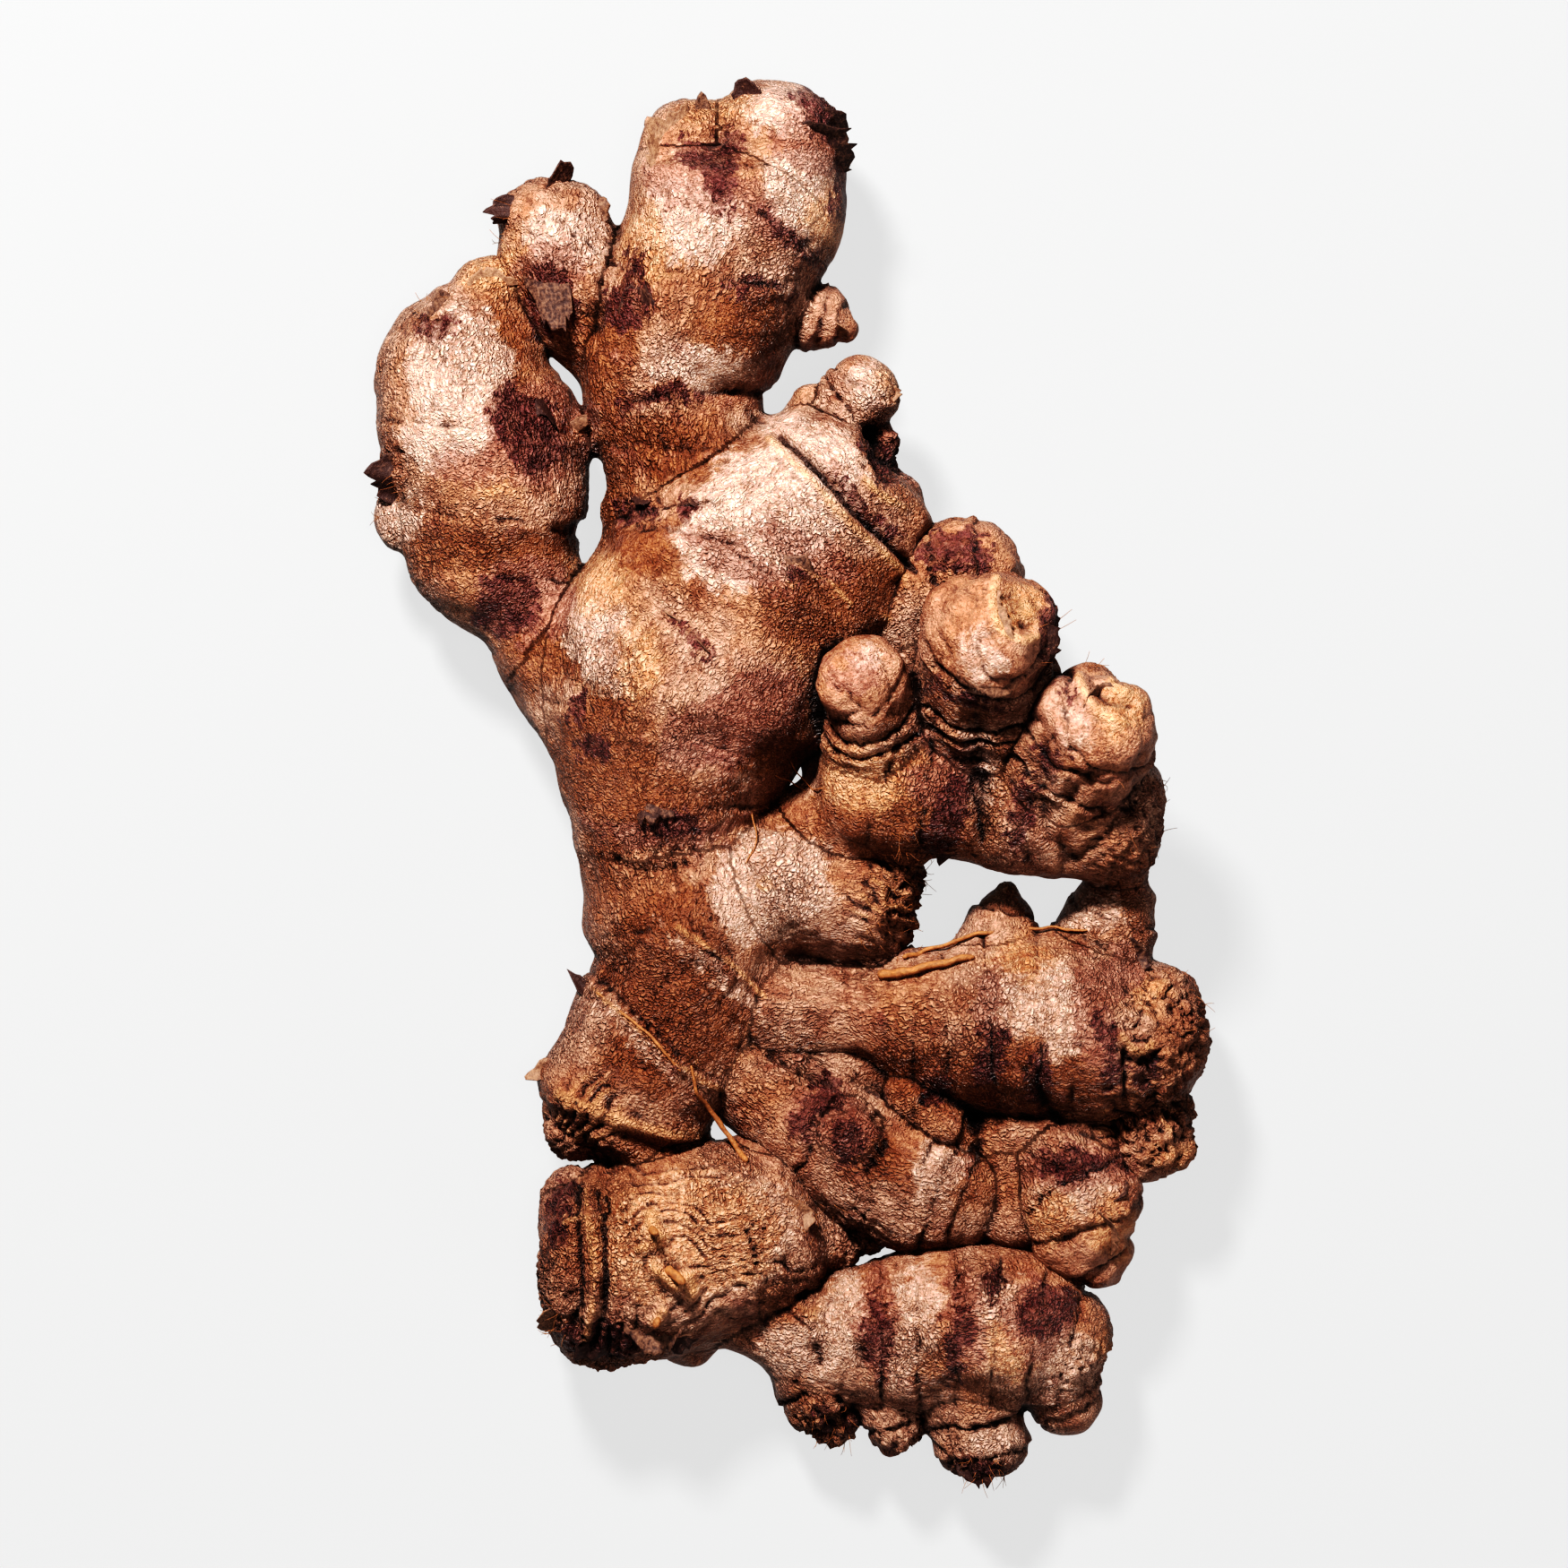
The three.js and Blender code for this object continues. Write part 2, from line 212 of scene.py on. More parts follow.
def catmull_rom(values, t):
    """Values of a uniform Catmull-Rom curve through the rows of `values`, at t from 0 to 1."""
    values = np.asarray(values, float)
    last = len(values) - 1
    if last == 1:
        return values[0] + np.outer(t, values[1] - values[0])
    ends = np.vstack([2 * values[0] - values[1], values, 2 * values[-1] - values[-2]])
    u = np.clip(np.asarray(t) * last, 0, last - TINY)
    i = u.astype(int)
    f = (u - i)[:, None]
    a, b, c, d = (ends[i + k] for k in range(4))
    return 0.5 * (2 * b + (c - a) * f + (2 * a - 5 * b + 4 * c - d) * f**2 + (3 * b - a - 3 * c + d) * f**3)


class Lobe:
    """One swollen lobe: samples of its axis with a frame that doesn't twist, and its half widths."""

    def __init__(self, name, limb, depth, dome, stations):
        self.name, self.limb, self.depth, self.dome = name, limb, depth, dome
        rough = np.asarray(stations, float)
        rough[:, 0] -= MIDDLE[0]
        rough[:, 1] -= MIDDLE[1]
        span = np.linalg.norm(np.diff(rough[:, :3], axis=0), axis=1).sum()
        t = np.linspace(0, 1, max(FEWEST_SAMPLES, int(span / AXIS_STEP)))
        table = catmull_rom(rough, t)
        self.centre, self.width = table[:, :3], table[:, 3]
        along = np.gradient(self.centre, axis=0)
        self.along = along / np.linalg.norm(along, axis=1)[:, None]
        up = np.array([-1.0, 0, 0]) if abs(self.along[0, 2]) > STEEP else np.array([0, 0, 1.0])
        self.side = np.cross(up, self.along)
        self.side /= np.linalg.norm(self.side, axis=1)[:, None]
        self.up = np.cross(self.along, self.side)
        steps = np.linalg.norm(np.diff(self.centre, axis=0), axis=1)
        self.run = np.concatenate([[0], np.cumsum(steps)])
        reach = self.width.max() * max(1, depth)
        self.low, self.high = self.centre.min(0) - reach, self.centre.max(0) + reach

    def local(self, points):
        """Distance to the lobe's surface, and the place (run, side, up) of each point, all in mm."""
        reach = points @ self.centre.T
        nearest = ((self.centre**2).sum(1) - 2 * reach).argmin(1)
        offset = points - self.centre[nearest]
        a = (offset * self.along[nearest]).sum(1)
        b = (offset * self.side[nearest]).sum(1)
        c = (offset * self.up[nearest]).sum(1)
        last = len(self.centre) - 1
        shift = np.clip(a * last / self.run[-1], -0.5, 0.5)
        index = np.clip(nearest + shift, 0, last)
        width = np.interp(index, np.arange(last + 1), self.width)
        beyond = np.where((nearest == 0) & (a < 0) | (nearest == last) & (a > 0), a, 0)
        tall, long = width * self.depth, width * self.dome
        q = np.sqrt((beyond / long) ** 2 + (b / width) ** 2 + (c / tall) ** 2)
        g = np.sqrt((beyond / long**2) ** 2 + (b / width**2) ** 2 + (c / tall**2) ** 2)
        simple = (q - 1) * np.minimum(tall, long)
        distance = np.where(q < NEAR_AXIS, simple, q * (q - 1) / np.maximum(g, TINY))
        run = np.interp(index, np.arange(last + 1), self.run) + beyond
        return distance, np.stack([run, b, c], 1)


lobes = [
    Lobe(name, limb, depth, dome, stations)
    for limb, parts in LIMBS.items()
    for name, (depth, dome, stations) in parts.items()
]
print("longest axis", round(max(lobe.run[-1] for lobe in lobes)), "mm")

# %% [markdown]
# ## Noise
# Nothing on a root is regular, so most of the shaping below leans on three kinds of noise that are worked
# out from a point's place: smooth value noise for swellings, its sum over octaves for roughness, and
# cell noise, whose borders make the net of creases of a leathery skin. Each is fixed by its seed.

# %% Noise from place
NEIGHBOURS = [(i, j, k) for i in (-1, 0, 1) for j in (-1, 0, 1) for k in (-1, 0, 1)]
# large numbers that scatter the bits of x, y, z and the seed, and then of their sum
SCATTER_X, SCATTER_Y, SCATTER_Z, SCATTER_SEED = 374761393, 668265263, 2147483647, 1274126177
SCATTER_SUM = 2246822519
WHOLE_WORD, PART_WORD = 0xFFFFFFFF, 0xFFFFFF  # 32 bits are kept on the way and 24 of the result
OCTAVE_SHIFT = 17.3  # moves each octave so that their cells don't line up
OUT_OF_REACH = 9.0  # squared distance that any seat in the next cells beats
SEAT_SEED = 31


def lottery(cells, seed):
    """A fixed random number from 0 to 1 for each whole-number cell."""
    x, y, z = (cells[:, i].astype(np.int64) for i in range(3))
    h = (x * SCATTER_X + y * SCATTER_Y + z * SCATTER_Z + seed * SCATTER_SEED) & WHOLE_WORD
    h = ((h ^ (h >> 13)) * SCATTER_SEED) & WHOLE_WORD
    h = ((h ^ (h >> 16)) * SCATTER_SUM) & WHOLE_WORD
    return ((h ^ (h >> 15)) & PART_WORD) / float(PART_WORD)


def value_noise(points, seed):
    """Smooth noise from -1 to 1 with features about one unit across."""
    base = np.floor(points).astype(np.int64)
    f = points - base
    f = f * f * f * (f * (f * 6 - 15) + 10)
    total = np.zeros(len(points))
    for i, j, k in ((i, j, k) for i in (0, 1) for j in (0, 1) for k in (0, 1)):
        weight = (f[:, 0] if i else 1 - f[:, 0]) * (f[:, 1] if j else 1 - f[:, 1])
        weight = weight * (f[:, 2] if k else 1 - f[:, 2])
        total += weight * lottery(base + (i, j, k), seed)
    return total * 2 - 1


def rough_noise(points, seed, octaves=3, gain=0.5):
    """Value noise summed over octaves, about -1 to 1."""
    total, size = 0, 0
    for n in range(octaves):
        total = total + gain**n * value_noise(points * 2**n + OCTAVE_SHIFT * n, seed + n)
        size += gain**n
    return total / size


def cell_noise(points, seed):
    """Distance to the nearest and to the second nearest of scattered points, one per unit cell."""
    base = np.floor(points).astype(np.int64)
    first = np.full(len(points), OUT_OF_REACH)
    second = np.full(len(points), OUT_OF_REACH)
    for shift in NEIGHBOURS:
        cell = base + shift
        seat = cell + np.stack([lottery(cell, seed + SEAT_SEED * n) for n in range(3)], 1)
        d = ((seat - points) ** 2).sum(1)
        second = np.where(d < first, first, np.minimum(second, d))
        first = np.minimum(first, d)
    return np.sqrt(first), np.sqrt(second)


def smooth_step(low, high, x):
    t = np.clip((x - low) / (high - low), 0, 1)
    return t * t * (3 - 2 * t)


# %% [markdown]
# ## One solid from all the lobes
# The grid is half a millimetre fine. In a limb the lobes blend over a few millimetres, as buds do where
# they swell out of a finger. Limbs that only touch blend over less than one, which leaves the dark
# crease that is seen between them. OpenVDB, which comes with Blender, turns the grid into a surface of
# even four-sided faces, just right for sculpting.

# %% Blend the lobes
FAR = 4.0  # distances are kept no further than this from the surface, mm
BLEND_SHARE = 0.3  # how far a lobe blends into its limb, as a share of its half width
LIMB_BLEND = {"left": 1.2, "right": 3.0, "upper_left": 1.6}  # mm
TOUCHING_BLEND = 0.9  # for the other limbs, mm


def blend(a, b, reach):
    """The smaller of two distances, rounded off where they are within `reach` of each other."""
    overlap = np.maximum(reach - np.abs(a - b), 0) / reach
    return np.minimum(a, b) - overlap**2 * reach / 4


def near(lobe, points, margin):
    """Indices of the points in a lobe's box widened by `margin`."""
    return np.flatnonzero(((points > lobe.low - margin) & (points < lobe.high + margin)).all(1))


def hand_distance(points):
    """Distance from each point to the surface of the whole hand, negative inside."""
    whole = np.full(len(points), FAR)
    for limb in LIMBS:
        part = np.full(len(points), FAR)
        for lobe in (one for one in lobes if one.limb == limb):
            some = near(lobe, points, FAR)
            distance = np.minimum(lobe.local(points[some])[0], FAR)
            part[some] = blend(part[some], distance, BLEND_SHARE * lobe.width.mean())
        whole = blend(whole, part, LIMB_BLEND.get(limb, TOUCHING_BLEND))
    return np.maximum(whole, -points[:, 2])


# %% [markdown]
# A coarse grid finds where the surface runs, and only the points near it are worked out again on the
# fine one, which is a third of all the points.

# %% Fill the grid
VOXEL = 0.5  # fine grid, mm
COARSE = 4  # fine steps in a coarse one
MARGIN = 3.0  # empty space kept round the hand, mm
SKIN_BAND = 2.6  # how near the surface the fine grid is filled in, mm

low = np.min([lobe.low for lobe in lobes], axis=0) - MARGIN
high = np.max([lobe.high for lobe in lobes], axis=0) + MARGIN
low[2] = -MARGIN
blocks = np.ceil((high - low) / (VOXEL * COARSE)).astype(int)
coarse_steps = np.stack(np.meshgrid(*[np.arange(n) for n in blocks], indexing="ij"), -1).reshape(-1, 3)
coarse_points = low + VOXEL * COARSE * (coarse_steps + 0.5)
coarse = hand_distance(coarse_points).reshape(blocks)
grid = coarse.repeat(COARSE, 0).repeat(COARSE, 1).repeat(COARSE, 2)
fine_steps = np.argwhere(np.abs(grid) < SKIN_BAND)
grid[tuple(fine_steps.T)] = hand_distance(low + VOXEL * (fine_steps + 0.5))
print("grid", grid.shape, "worked out finely at", len(fine_steps), "points")

# %% Turn the grid into a mesh
volume = openvdb.FloatGrid(FAR)
volume.copyFromArray(grid.astype(np.float32))
volume.transform = openvdb.createLinearTransform(voxelSize=VOXEL)
points, triangles, quads = volume.convertToPolygons(isovalue=0, adaptivity=0)
points = points.astype(float) + low + VOXEL / 2
quads = quads.astype(np.int64)
print(len(points), "points,", len(triangles), "triangles,", len(quads), "quads")


def mesh_object(name, points, faces):
    """A mesh object, in metres, from points in millimetres."""
    mesh = bpy.data.meshes.new(name)
    mesh.from_pydata((points * MM).tolist(), [], faces if isinstance(faces, list) else faces.tolist())
    mesh.update()
    piece = bpy.data.objects.new(name, mesh)
    bpy.context.scene.collection.objects.link(piece)
    return piece


def normals_of(points, faces):
    """Unit normals of the points of a mesh of quads."""
    a, b, c, d = (points[faces[:, i]] for i in range(4))
    across = np.cross(c - a, d - b)
    normals = np.zeros_like(points)
    for axis in range(3):
        for corner in range(4):
            normals[:, axis] += np.bincount(faces[:, corner], across[:, axis], len(points))
    return normals / np.maximum(np.linalg.norm(normals, axis=1), TINY)[:, None]


def neighbour_mean(values, faces, rounds):
    """Each point's value averaged with its neighbours', over and over."""
    links = np.vstack([faces[:, [i, (i + 1) % 4]] for i in range(4)])
    links = np.vstack([links, links[:, ::-1]])
    count = np.bincount(links[:, 0], minlength=len(values))
    out = values.reshape(len(values), -1)
    for _ in range(rounds):
        columns = [np.bincount(links[:, 0], out[links[:, 1], i], len(out)) for i in range(out.shape[1])]
        total = np.stack(columns, 1)
        out = 0.5 * out + 0.5 * total / np.maximum(count, 1)[:, None]
    return out.reshape(values.shape)


points = neighbour_mean(points, quads, 1)
print("outline", points.min(0).round(1), points.max(0).round(1))

# %% [markdown]
# ## Which lobe each point belongs to
# Wrinkles and rings follow the finger they are on. So each point of the skin is given the lobe whose
# surface is nearest, and its place along and across that lobe. This place, the grain, also steers the
# fine pattern of the material later.

# %% Owners and grain
UNOWNED = 99.0  # distance that any lobe beats, mm
OWNER_MARGIN = 3.0  # how far outside a lobe's box its skin may lie, mm

owner = np.full(len(points), -1)
nearest = np.full(len(points), UNOWNED)
second = np.full(len(points), UNOWNED)
grain = np.zeros_like(points)
for number, lobe in enumerate(lobes):
    some = near(lobe, points, OWNER_MARGIN)
    distance, place = lobe.local(points[some])
    distance = np.abs(distance)
    closer = distance < nearest[some]
    second[some] = np.where(closer, nearest[some], np.minimum(second[some], distance))
    chosen = some[closer]
    nearest[chosen] = distance[closer]
    owner[chosen] = number
    grain[chosen] = place[closer]
limb_names = list(LIMBS)
limb_of_lobe = np.array([limb_names.index(lobe.limb) for lobe in lobes])
limb = limb_of_lobe[np.maximum(owner, 0)]
print("points without a lobe", int((owner < 0).sum()))

# %% [markdown]
# ## Sculpting the skin
# The shape so far is smooth. The real skin is shaped at three sizes. Swellings a centimetre across make
# each lobe a little uneven. Rings, left where scale leaves once sat, run round the fingers as a raised
# ragged edge with a groove in front of it. And the whole skin has dried a little and wrinkled.
# Each ring is the cut of a plane through a limb: its point and its direction in plan, then how far the
# raised edge stands, how deep the groove is, and how long it is.

# %% Rings and edges
# limb, x, y, direction (degrees from +X), edge height, groove depth, half length, all lengths in mm
RINGS = [
    ("main", -9, 87, -4, 0.5, 0.3, 11),
    ("main", -2, 79, -38, 0.5, 0.3, 10),
    ("main", -14, 71.5, -8, 0.6, 0.3, 16),
    ("main", -15, 62, 4, 0.25, 0.18, 16),
    ("main", -15, 54.4, 4, 0.6, 0.42, 15),
    ("main", -15, 47, -3, 0.2, 0.18, 14),
    ("main", -17, 38.4, 6, 0.7, 0.54, 9),
    ("main", -13, 34.6, -10, 0.5, 0.24, 12),
    ("main", -1, 28.6, -32, 0.5, 0.24, 9),
    ("main", 7.4, 41.4, -47, 0.9, 1.3, 15),
    ("main", 3, 45, -45, 0.3, 0.18, 13),
    ("main", -27, 10, -12, 0.4, 0.24, 10),
    ("main", -12, 5.4, -14, 0.4, 0.18, 14),
    ("main", -17, -3.6, 2, 0.5, 0.36, 14),
    ("main", -18, -10, 4, 0.2, 0.18, 12),
    ("main", -17, -20.4, 10, 0.7, 0.3, 12),
    ("main", -8.6, -25.4, -38, 0.8, 0.24, 12),
    ("main", -22, -32, -42, 0.6, 0.18, 12),
    ("main", -12, -42, -38, 0.5, 0.18, 9),
    ("main", -22, -47, -14, 0.5, 0.24, 14),
    ("left", -45, 70, -20, 0.3, 0.24, 9),
    ("left", -45, 62, 6, 0.3, 0.12, 14),
    ("left", -45, 50, -6, 0.6, 0.24, 16),
    ("left", -42, 37.4, -8, 0.6, 0.36, 15),
    ("left", -40, 29.4, -6, 0.5, 0.3, 14),
    ("left", -35, 22, 30, 0.4, 0.24, 10),
    ("upper_left", -32, 79, -35, 0.5, 0.3, 9),
    ("upper_left", -29.5, 72, -28, 0.4, 0.24, 9),
    ("upper_left", -27, 66, -20, 0.3, 0.24, 9),
    ("cluster", 13, -2, 75, 0.5, 0.36, 11),
    ("cluster", 19.6, 0, 85, 0.5, 0.36, 11),
    ("cluster", 26, 0, 96, 0.5, 0.54, 11),
    ("cluster", 33.6, -2, 92, 0.6, 0.3, 11),
    ("cluster", 39, -4, 88, 0.5, 0.3, 11),
    ("cluster", 47, -5, 80, 0.4, 0.3, 11),
    ("right", 14, -33, 86, 0.3, 0.24, 12),
    ("right", 18, -33, 88, 0.35, 0.3, 12),
    ("right", 22.4, -33, 92, 0.4, 0.3, 13),
    ("right", 28.4, -33, 94, 0.6, 0.48, 14),
    ("right", 35.4, -33, 92, 0.6, 0.48, 15),
    ("right", 42, -34, 80, 0.4, 0.3, 14),
    ("right", 47.6, -35, 88, 0.6, 0.48, 13),
    ("bent", 0, -44, 60, 0.4, 0.3, 10),
    ("bent", 5, -49, 58, 0.5, 0.36, 11),
    ("bent", 14.4, -54, 64, 0.5, 0.3, 11),
    ("bent", 18, -56, 66, 0.5, 0.3, 11),
    ("bent", 21.6, -57, 68, 0.6, 0.36, 11),
    ("bent", 25, -58, 70, 0.5, 0.3, 10),
    ("stump", -29, -68, 92, 1.0, 0.66, 16),
    ("stump", -25.5, -68, 90, 1.1, 0.72, 16),
    ("stump", -20, -67, 84, 0.4, 0.3, 14),
    ("stump", -5, -63, 96, 0.4, 0.36, 14),
    ("stump", 0, -62, 94, 0.4, 0.36, 13),
    ("bottom", 3, -78, 78, 0.4, 0.3, 10),
    ("bottom", 8.5, -78, 84, 0.6, 0.42, 11),
    ("bottom", 13.2, -78, 90, 0.6, 0.36, 12),
    ("bottom", 18.4, -78, 92, 0.7, 0.42, 13),
    ("bottom", 24, -78, 90, 0.7, 0.42, 13),
    ("bottom", 29.4, -78, 86, 0.7, 0.36, 13),
    ("bottom", 35, -79, 80, 0.6, 0.36, 12),
    ("bottom", 40, -80, 76, 0.5, 0.3, 11),
]
EDGE_FADE = 4.5  # how far behind its edge a scale's thickness dies away, mm
EDGE_SOFTNESS = 0.25  # half the width of the step down from an edge, mm
GROOVE_WIDTH, GROOVE_AHEAD = 0.45, 0.4  # the groove, and how far in front of the edge it runs, mm
DARK_GROOVE = 0.6  # a groove this deep is as dark as any, mm
RING_WANDER, RING_TREMOR = 0.9, 0.5  # how far a ring strays from its plane, mm
RING_END = 3.0  # over which a ring dies away at either end, mm
SIDEWAYS = 0.7  # sine of the direction past which a ring faces the other way
WORN_EDGE = 0.4  # what is left of an edge where it is worn
# noises of the rings: size of the features (mm), seed, octaves and gain
STRAY, TREMBLE = (4.2, 11, 4, 0.6), (1.7, 15, 2, 0.5)
PATCHY, STREAKY = (5.0, 17, 4, 0.6), (3.4, 19, 4, 0.6)


def noise_on_skin(size, seed, octaves, gain):
    return rough_noise(points / size, seed, octaves, gain)


def smooth_fade(half_length, distance):
    return smooth_step(half_length, half_length - RING_END, distance)


def scale_edge(ahead, fade=EDGE_FADE):
    """Thickness of a scale leaf behind its edge, and the groove in front, by the distance ahead of it."""
    behind = np.exp(np.minimum(ahead, 0) / fade) * smooth_step(EDGE_SOFTNESS, -EDGE_SOFTNESS, ahead)
    return behind, np.exp(-((ahead - GROOVE_AHEAD) ** 2) / GROOVE_WIDTH**2)


lift = np.zeros(len(points))
line = np.zeros(len(points))
band = np.zeros(len(points))
wander = noise_on_skin(*STRAY) * RING_WANDER + np.abs(noise_on_skin(*TREMBLE)) * RING_TREMOR
patchy = smooth_step(-0.25, 0.45, noise_on_skin(*PATCHY))
streaky = smooth_step(-0.4, 0.5, noise_on_skin(*STREAKY))
edge_left = WORN_EDGE + (1 - WORN_EDGE) * patchy
for place, x, y, turn, edge, groove, half_length in RINGS:
    turn = math.radians(turn)
    spot = np.array([x - MIDDLE[0], y - MIDDLE[1]])
    flat = points[:, :2] - spot
    run = flat @ (math.cos(turn), math.sin(turn))
    ahead = flat @ (-math.sin(turn), math.cos(turn))
    if abs(math.sin(turn)) > SIDEWAYS:
        ahead = -ahead
    ahead = ahead + wander
    here = (limb == limb_names.index(place)) * smooth_fade(half_length, np.abs(run))
    behind, slot = scale_edge(ahead)
    lift += here * (edge * behind * edge_left - groove * slot * patchy)
    line = np.maximum(line, here * slot * patchy * min(1, groove / DARK_GROOVE))
    band = np.maximum(band, here * behind * patchy * streaky)
print(len(RINGS), "rings, skin raised up to", round(float(lift.max()), 2), "mm")

# %% [markdown]
# Buds are wrapped in scales, one inside the other, so seen from the tip their edges are rings round it.
# Each edge is at a distance from the tip that changes round the bud, because the scales wind round it.

# %% Scales of the buds
# lobe: distance from the tip, edge height, groove depth and slant of each scale, mm
BUD_SCALES = {
    "big_bud": [(6.6, 0.5, 0.8, 2.6), (11, 0.6, 0.6, -2.0), (17.5, 0.9, 1.3, 1.0), (21, 0.8, 1.1, -0.6),
                (24.5, 0.5, 0.7, 0.6)],
    "small_bud": [(7.6, 0.3, 0.4, 3.0), (11.4, 0.7, 1.1, 0.8), (14.4, 0.6, 0.8, -0.6)],
    "right_bud": [(5.4, 0.5, 0.7, 2.2), (9.4, 0.5, 0.6, -2.0), (15, 0.6, 0.9, 1.0), (18.6, 0.7, 0.9, -1)],
    "plate_knob": [(3.6, 0.5, 0.5, 1.4), (7.6, 0.6, 0.8, -0.8), (10.4, 0.4, 0.5, 0.4)],
    "back_bud": [(6, 0.4, 0.5, 1.6), (11.4, 0.5, 0.7, -1.0)],
    "side_bud": [(3.0, 0.4, 0.4, 0.8), (6.4, 0.4, 0.5, -0.6)],
    "amber_bud": [(5.0, 0.5, 0.6, 1.6), (10, 0.5, 0.6, -1.4), (14.6, 0.5, 0.6, 1.0)],
    "bent_bud": [(5.6, 0.6, 0.9, 1.0)],
    "tongue": [(4.0, 0.4, 0.5, 0.8), (8.4, 0.4, 0.5, -0.6)],
    "left_ear": [(5.0, 0.4, 0.5, 0.6)],
    "right_ear": [(6.4, 0.4, 0.5, 0.8), (11.4, 0.5, 0.7, -0.6)],
    "low_tip": [(3.2, 0.5, 0.6, 0.4)],
    "sausage": [(5.6, 0.3, 0.4, 0.6)],
    "first_toe": [(4.4, 0.4, 0.5, 0.6), (9, 0.5, 0.6, -0.6)],
    "second_toe": [(4.0, 0.4, 0.5, 0.6), (7.6, 0.4, 0.5, -0.4)],
    "third_toe": [(5.0, 0.5, 0.6, 0.8), (10, 0.5, 0.7, -0.6)],
    "fourth_toe": [(4.2, 0.4, 0.5, 0.6), (8.4, 0.5, 0.6, -0.4)],
    "left_low_knob": [(4.6, 0.5, 0.8, 0.4)],
}
SCALE_FADE = 3.0  # mm
SCALE_TURN = 1.7  # how far round the bud the longest place of a scale moves, radians per mm
SCALE_STRAY = 1.5  # how many times as far as a ring a scale's edge strays
SCALE_STAIN = 0.5  # how much of a band's colour lies behind a scale's edge
FAINT_LINE = 0.3  # what is left of a groove's shade where it is worn
# how far from its tip the skin of a bud is young and smooth, in part and wholly, mm
TENDER_LENGTH, TENDER_TIP = 14.0, 4.0
LOBE_BORDER = 1.5  # over which a bud's marks die away towards the next lobe, mm

inner = smooth_step(0, LOBE_BORDER, second - nearest)
line_left = FAINT_LINE + (1 - FAINT_LINE) * patchy
tender = np.zeros(len(points))
for number, lobe in enumerate(lobes):
    own = np.flatnonzero(owner == number)
    tip = lobe.run[-1] + lobe.width[-1] * lobe.dome
    if "bud" in lobe.name and lobe.name != "bent_bud":
        tender[own] = inner[own] * smooth_step(TENDER_LENGTH, TENDER_TIP, tip - grain[own, 0])
    for tip_distance, edge, groove, slant in BUD_SCALES.get(lobe.name, []):
        round_it = np.arctan2(grain[own, 2], grain[own, 1])
        winding = slant * np.cos(round_it + SCALE_TURN * tip_distance)
        ahead = tip_distance + winding - (tip - grain[own, 0])
        behind, slot = scale_edge(ahead + SCALE_STRAY * wander[own], SCALE_FADE)
        lift[own] += inner[own] * (edge * behind - groove * slot * edge_left[own])
        line[own] = np.maximum(line[own], inner[own] * slot * line_left[own])
        band[own] = np.maximum(band[own], SCALE_STAIN * inner[own] * behind * streaky[own])
print("scales on", len(BUD_SCALES), "buds, toes and knobs")
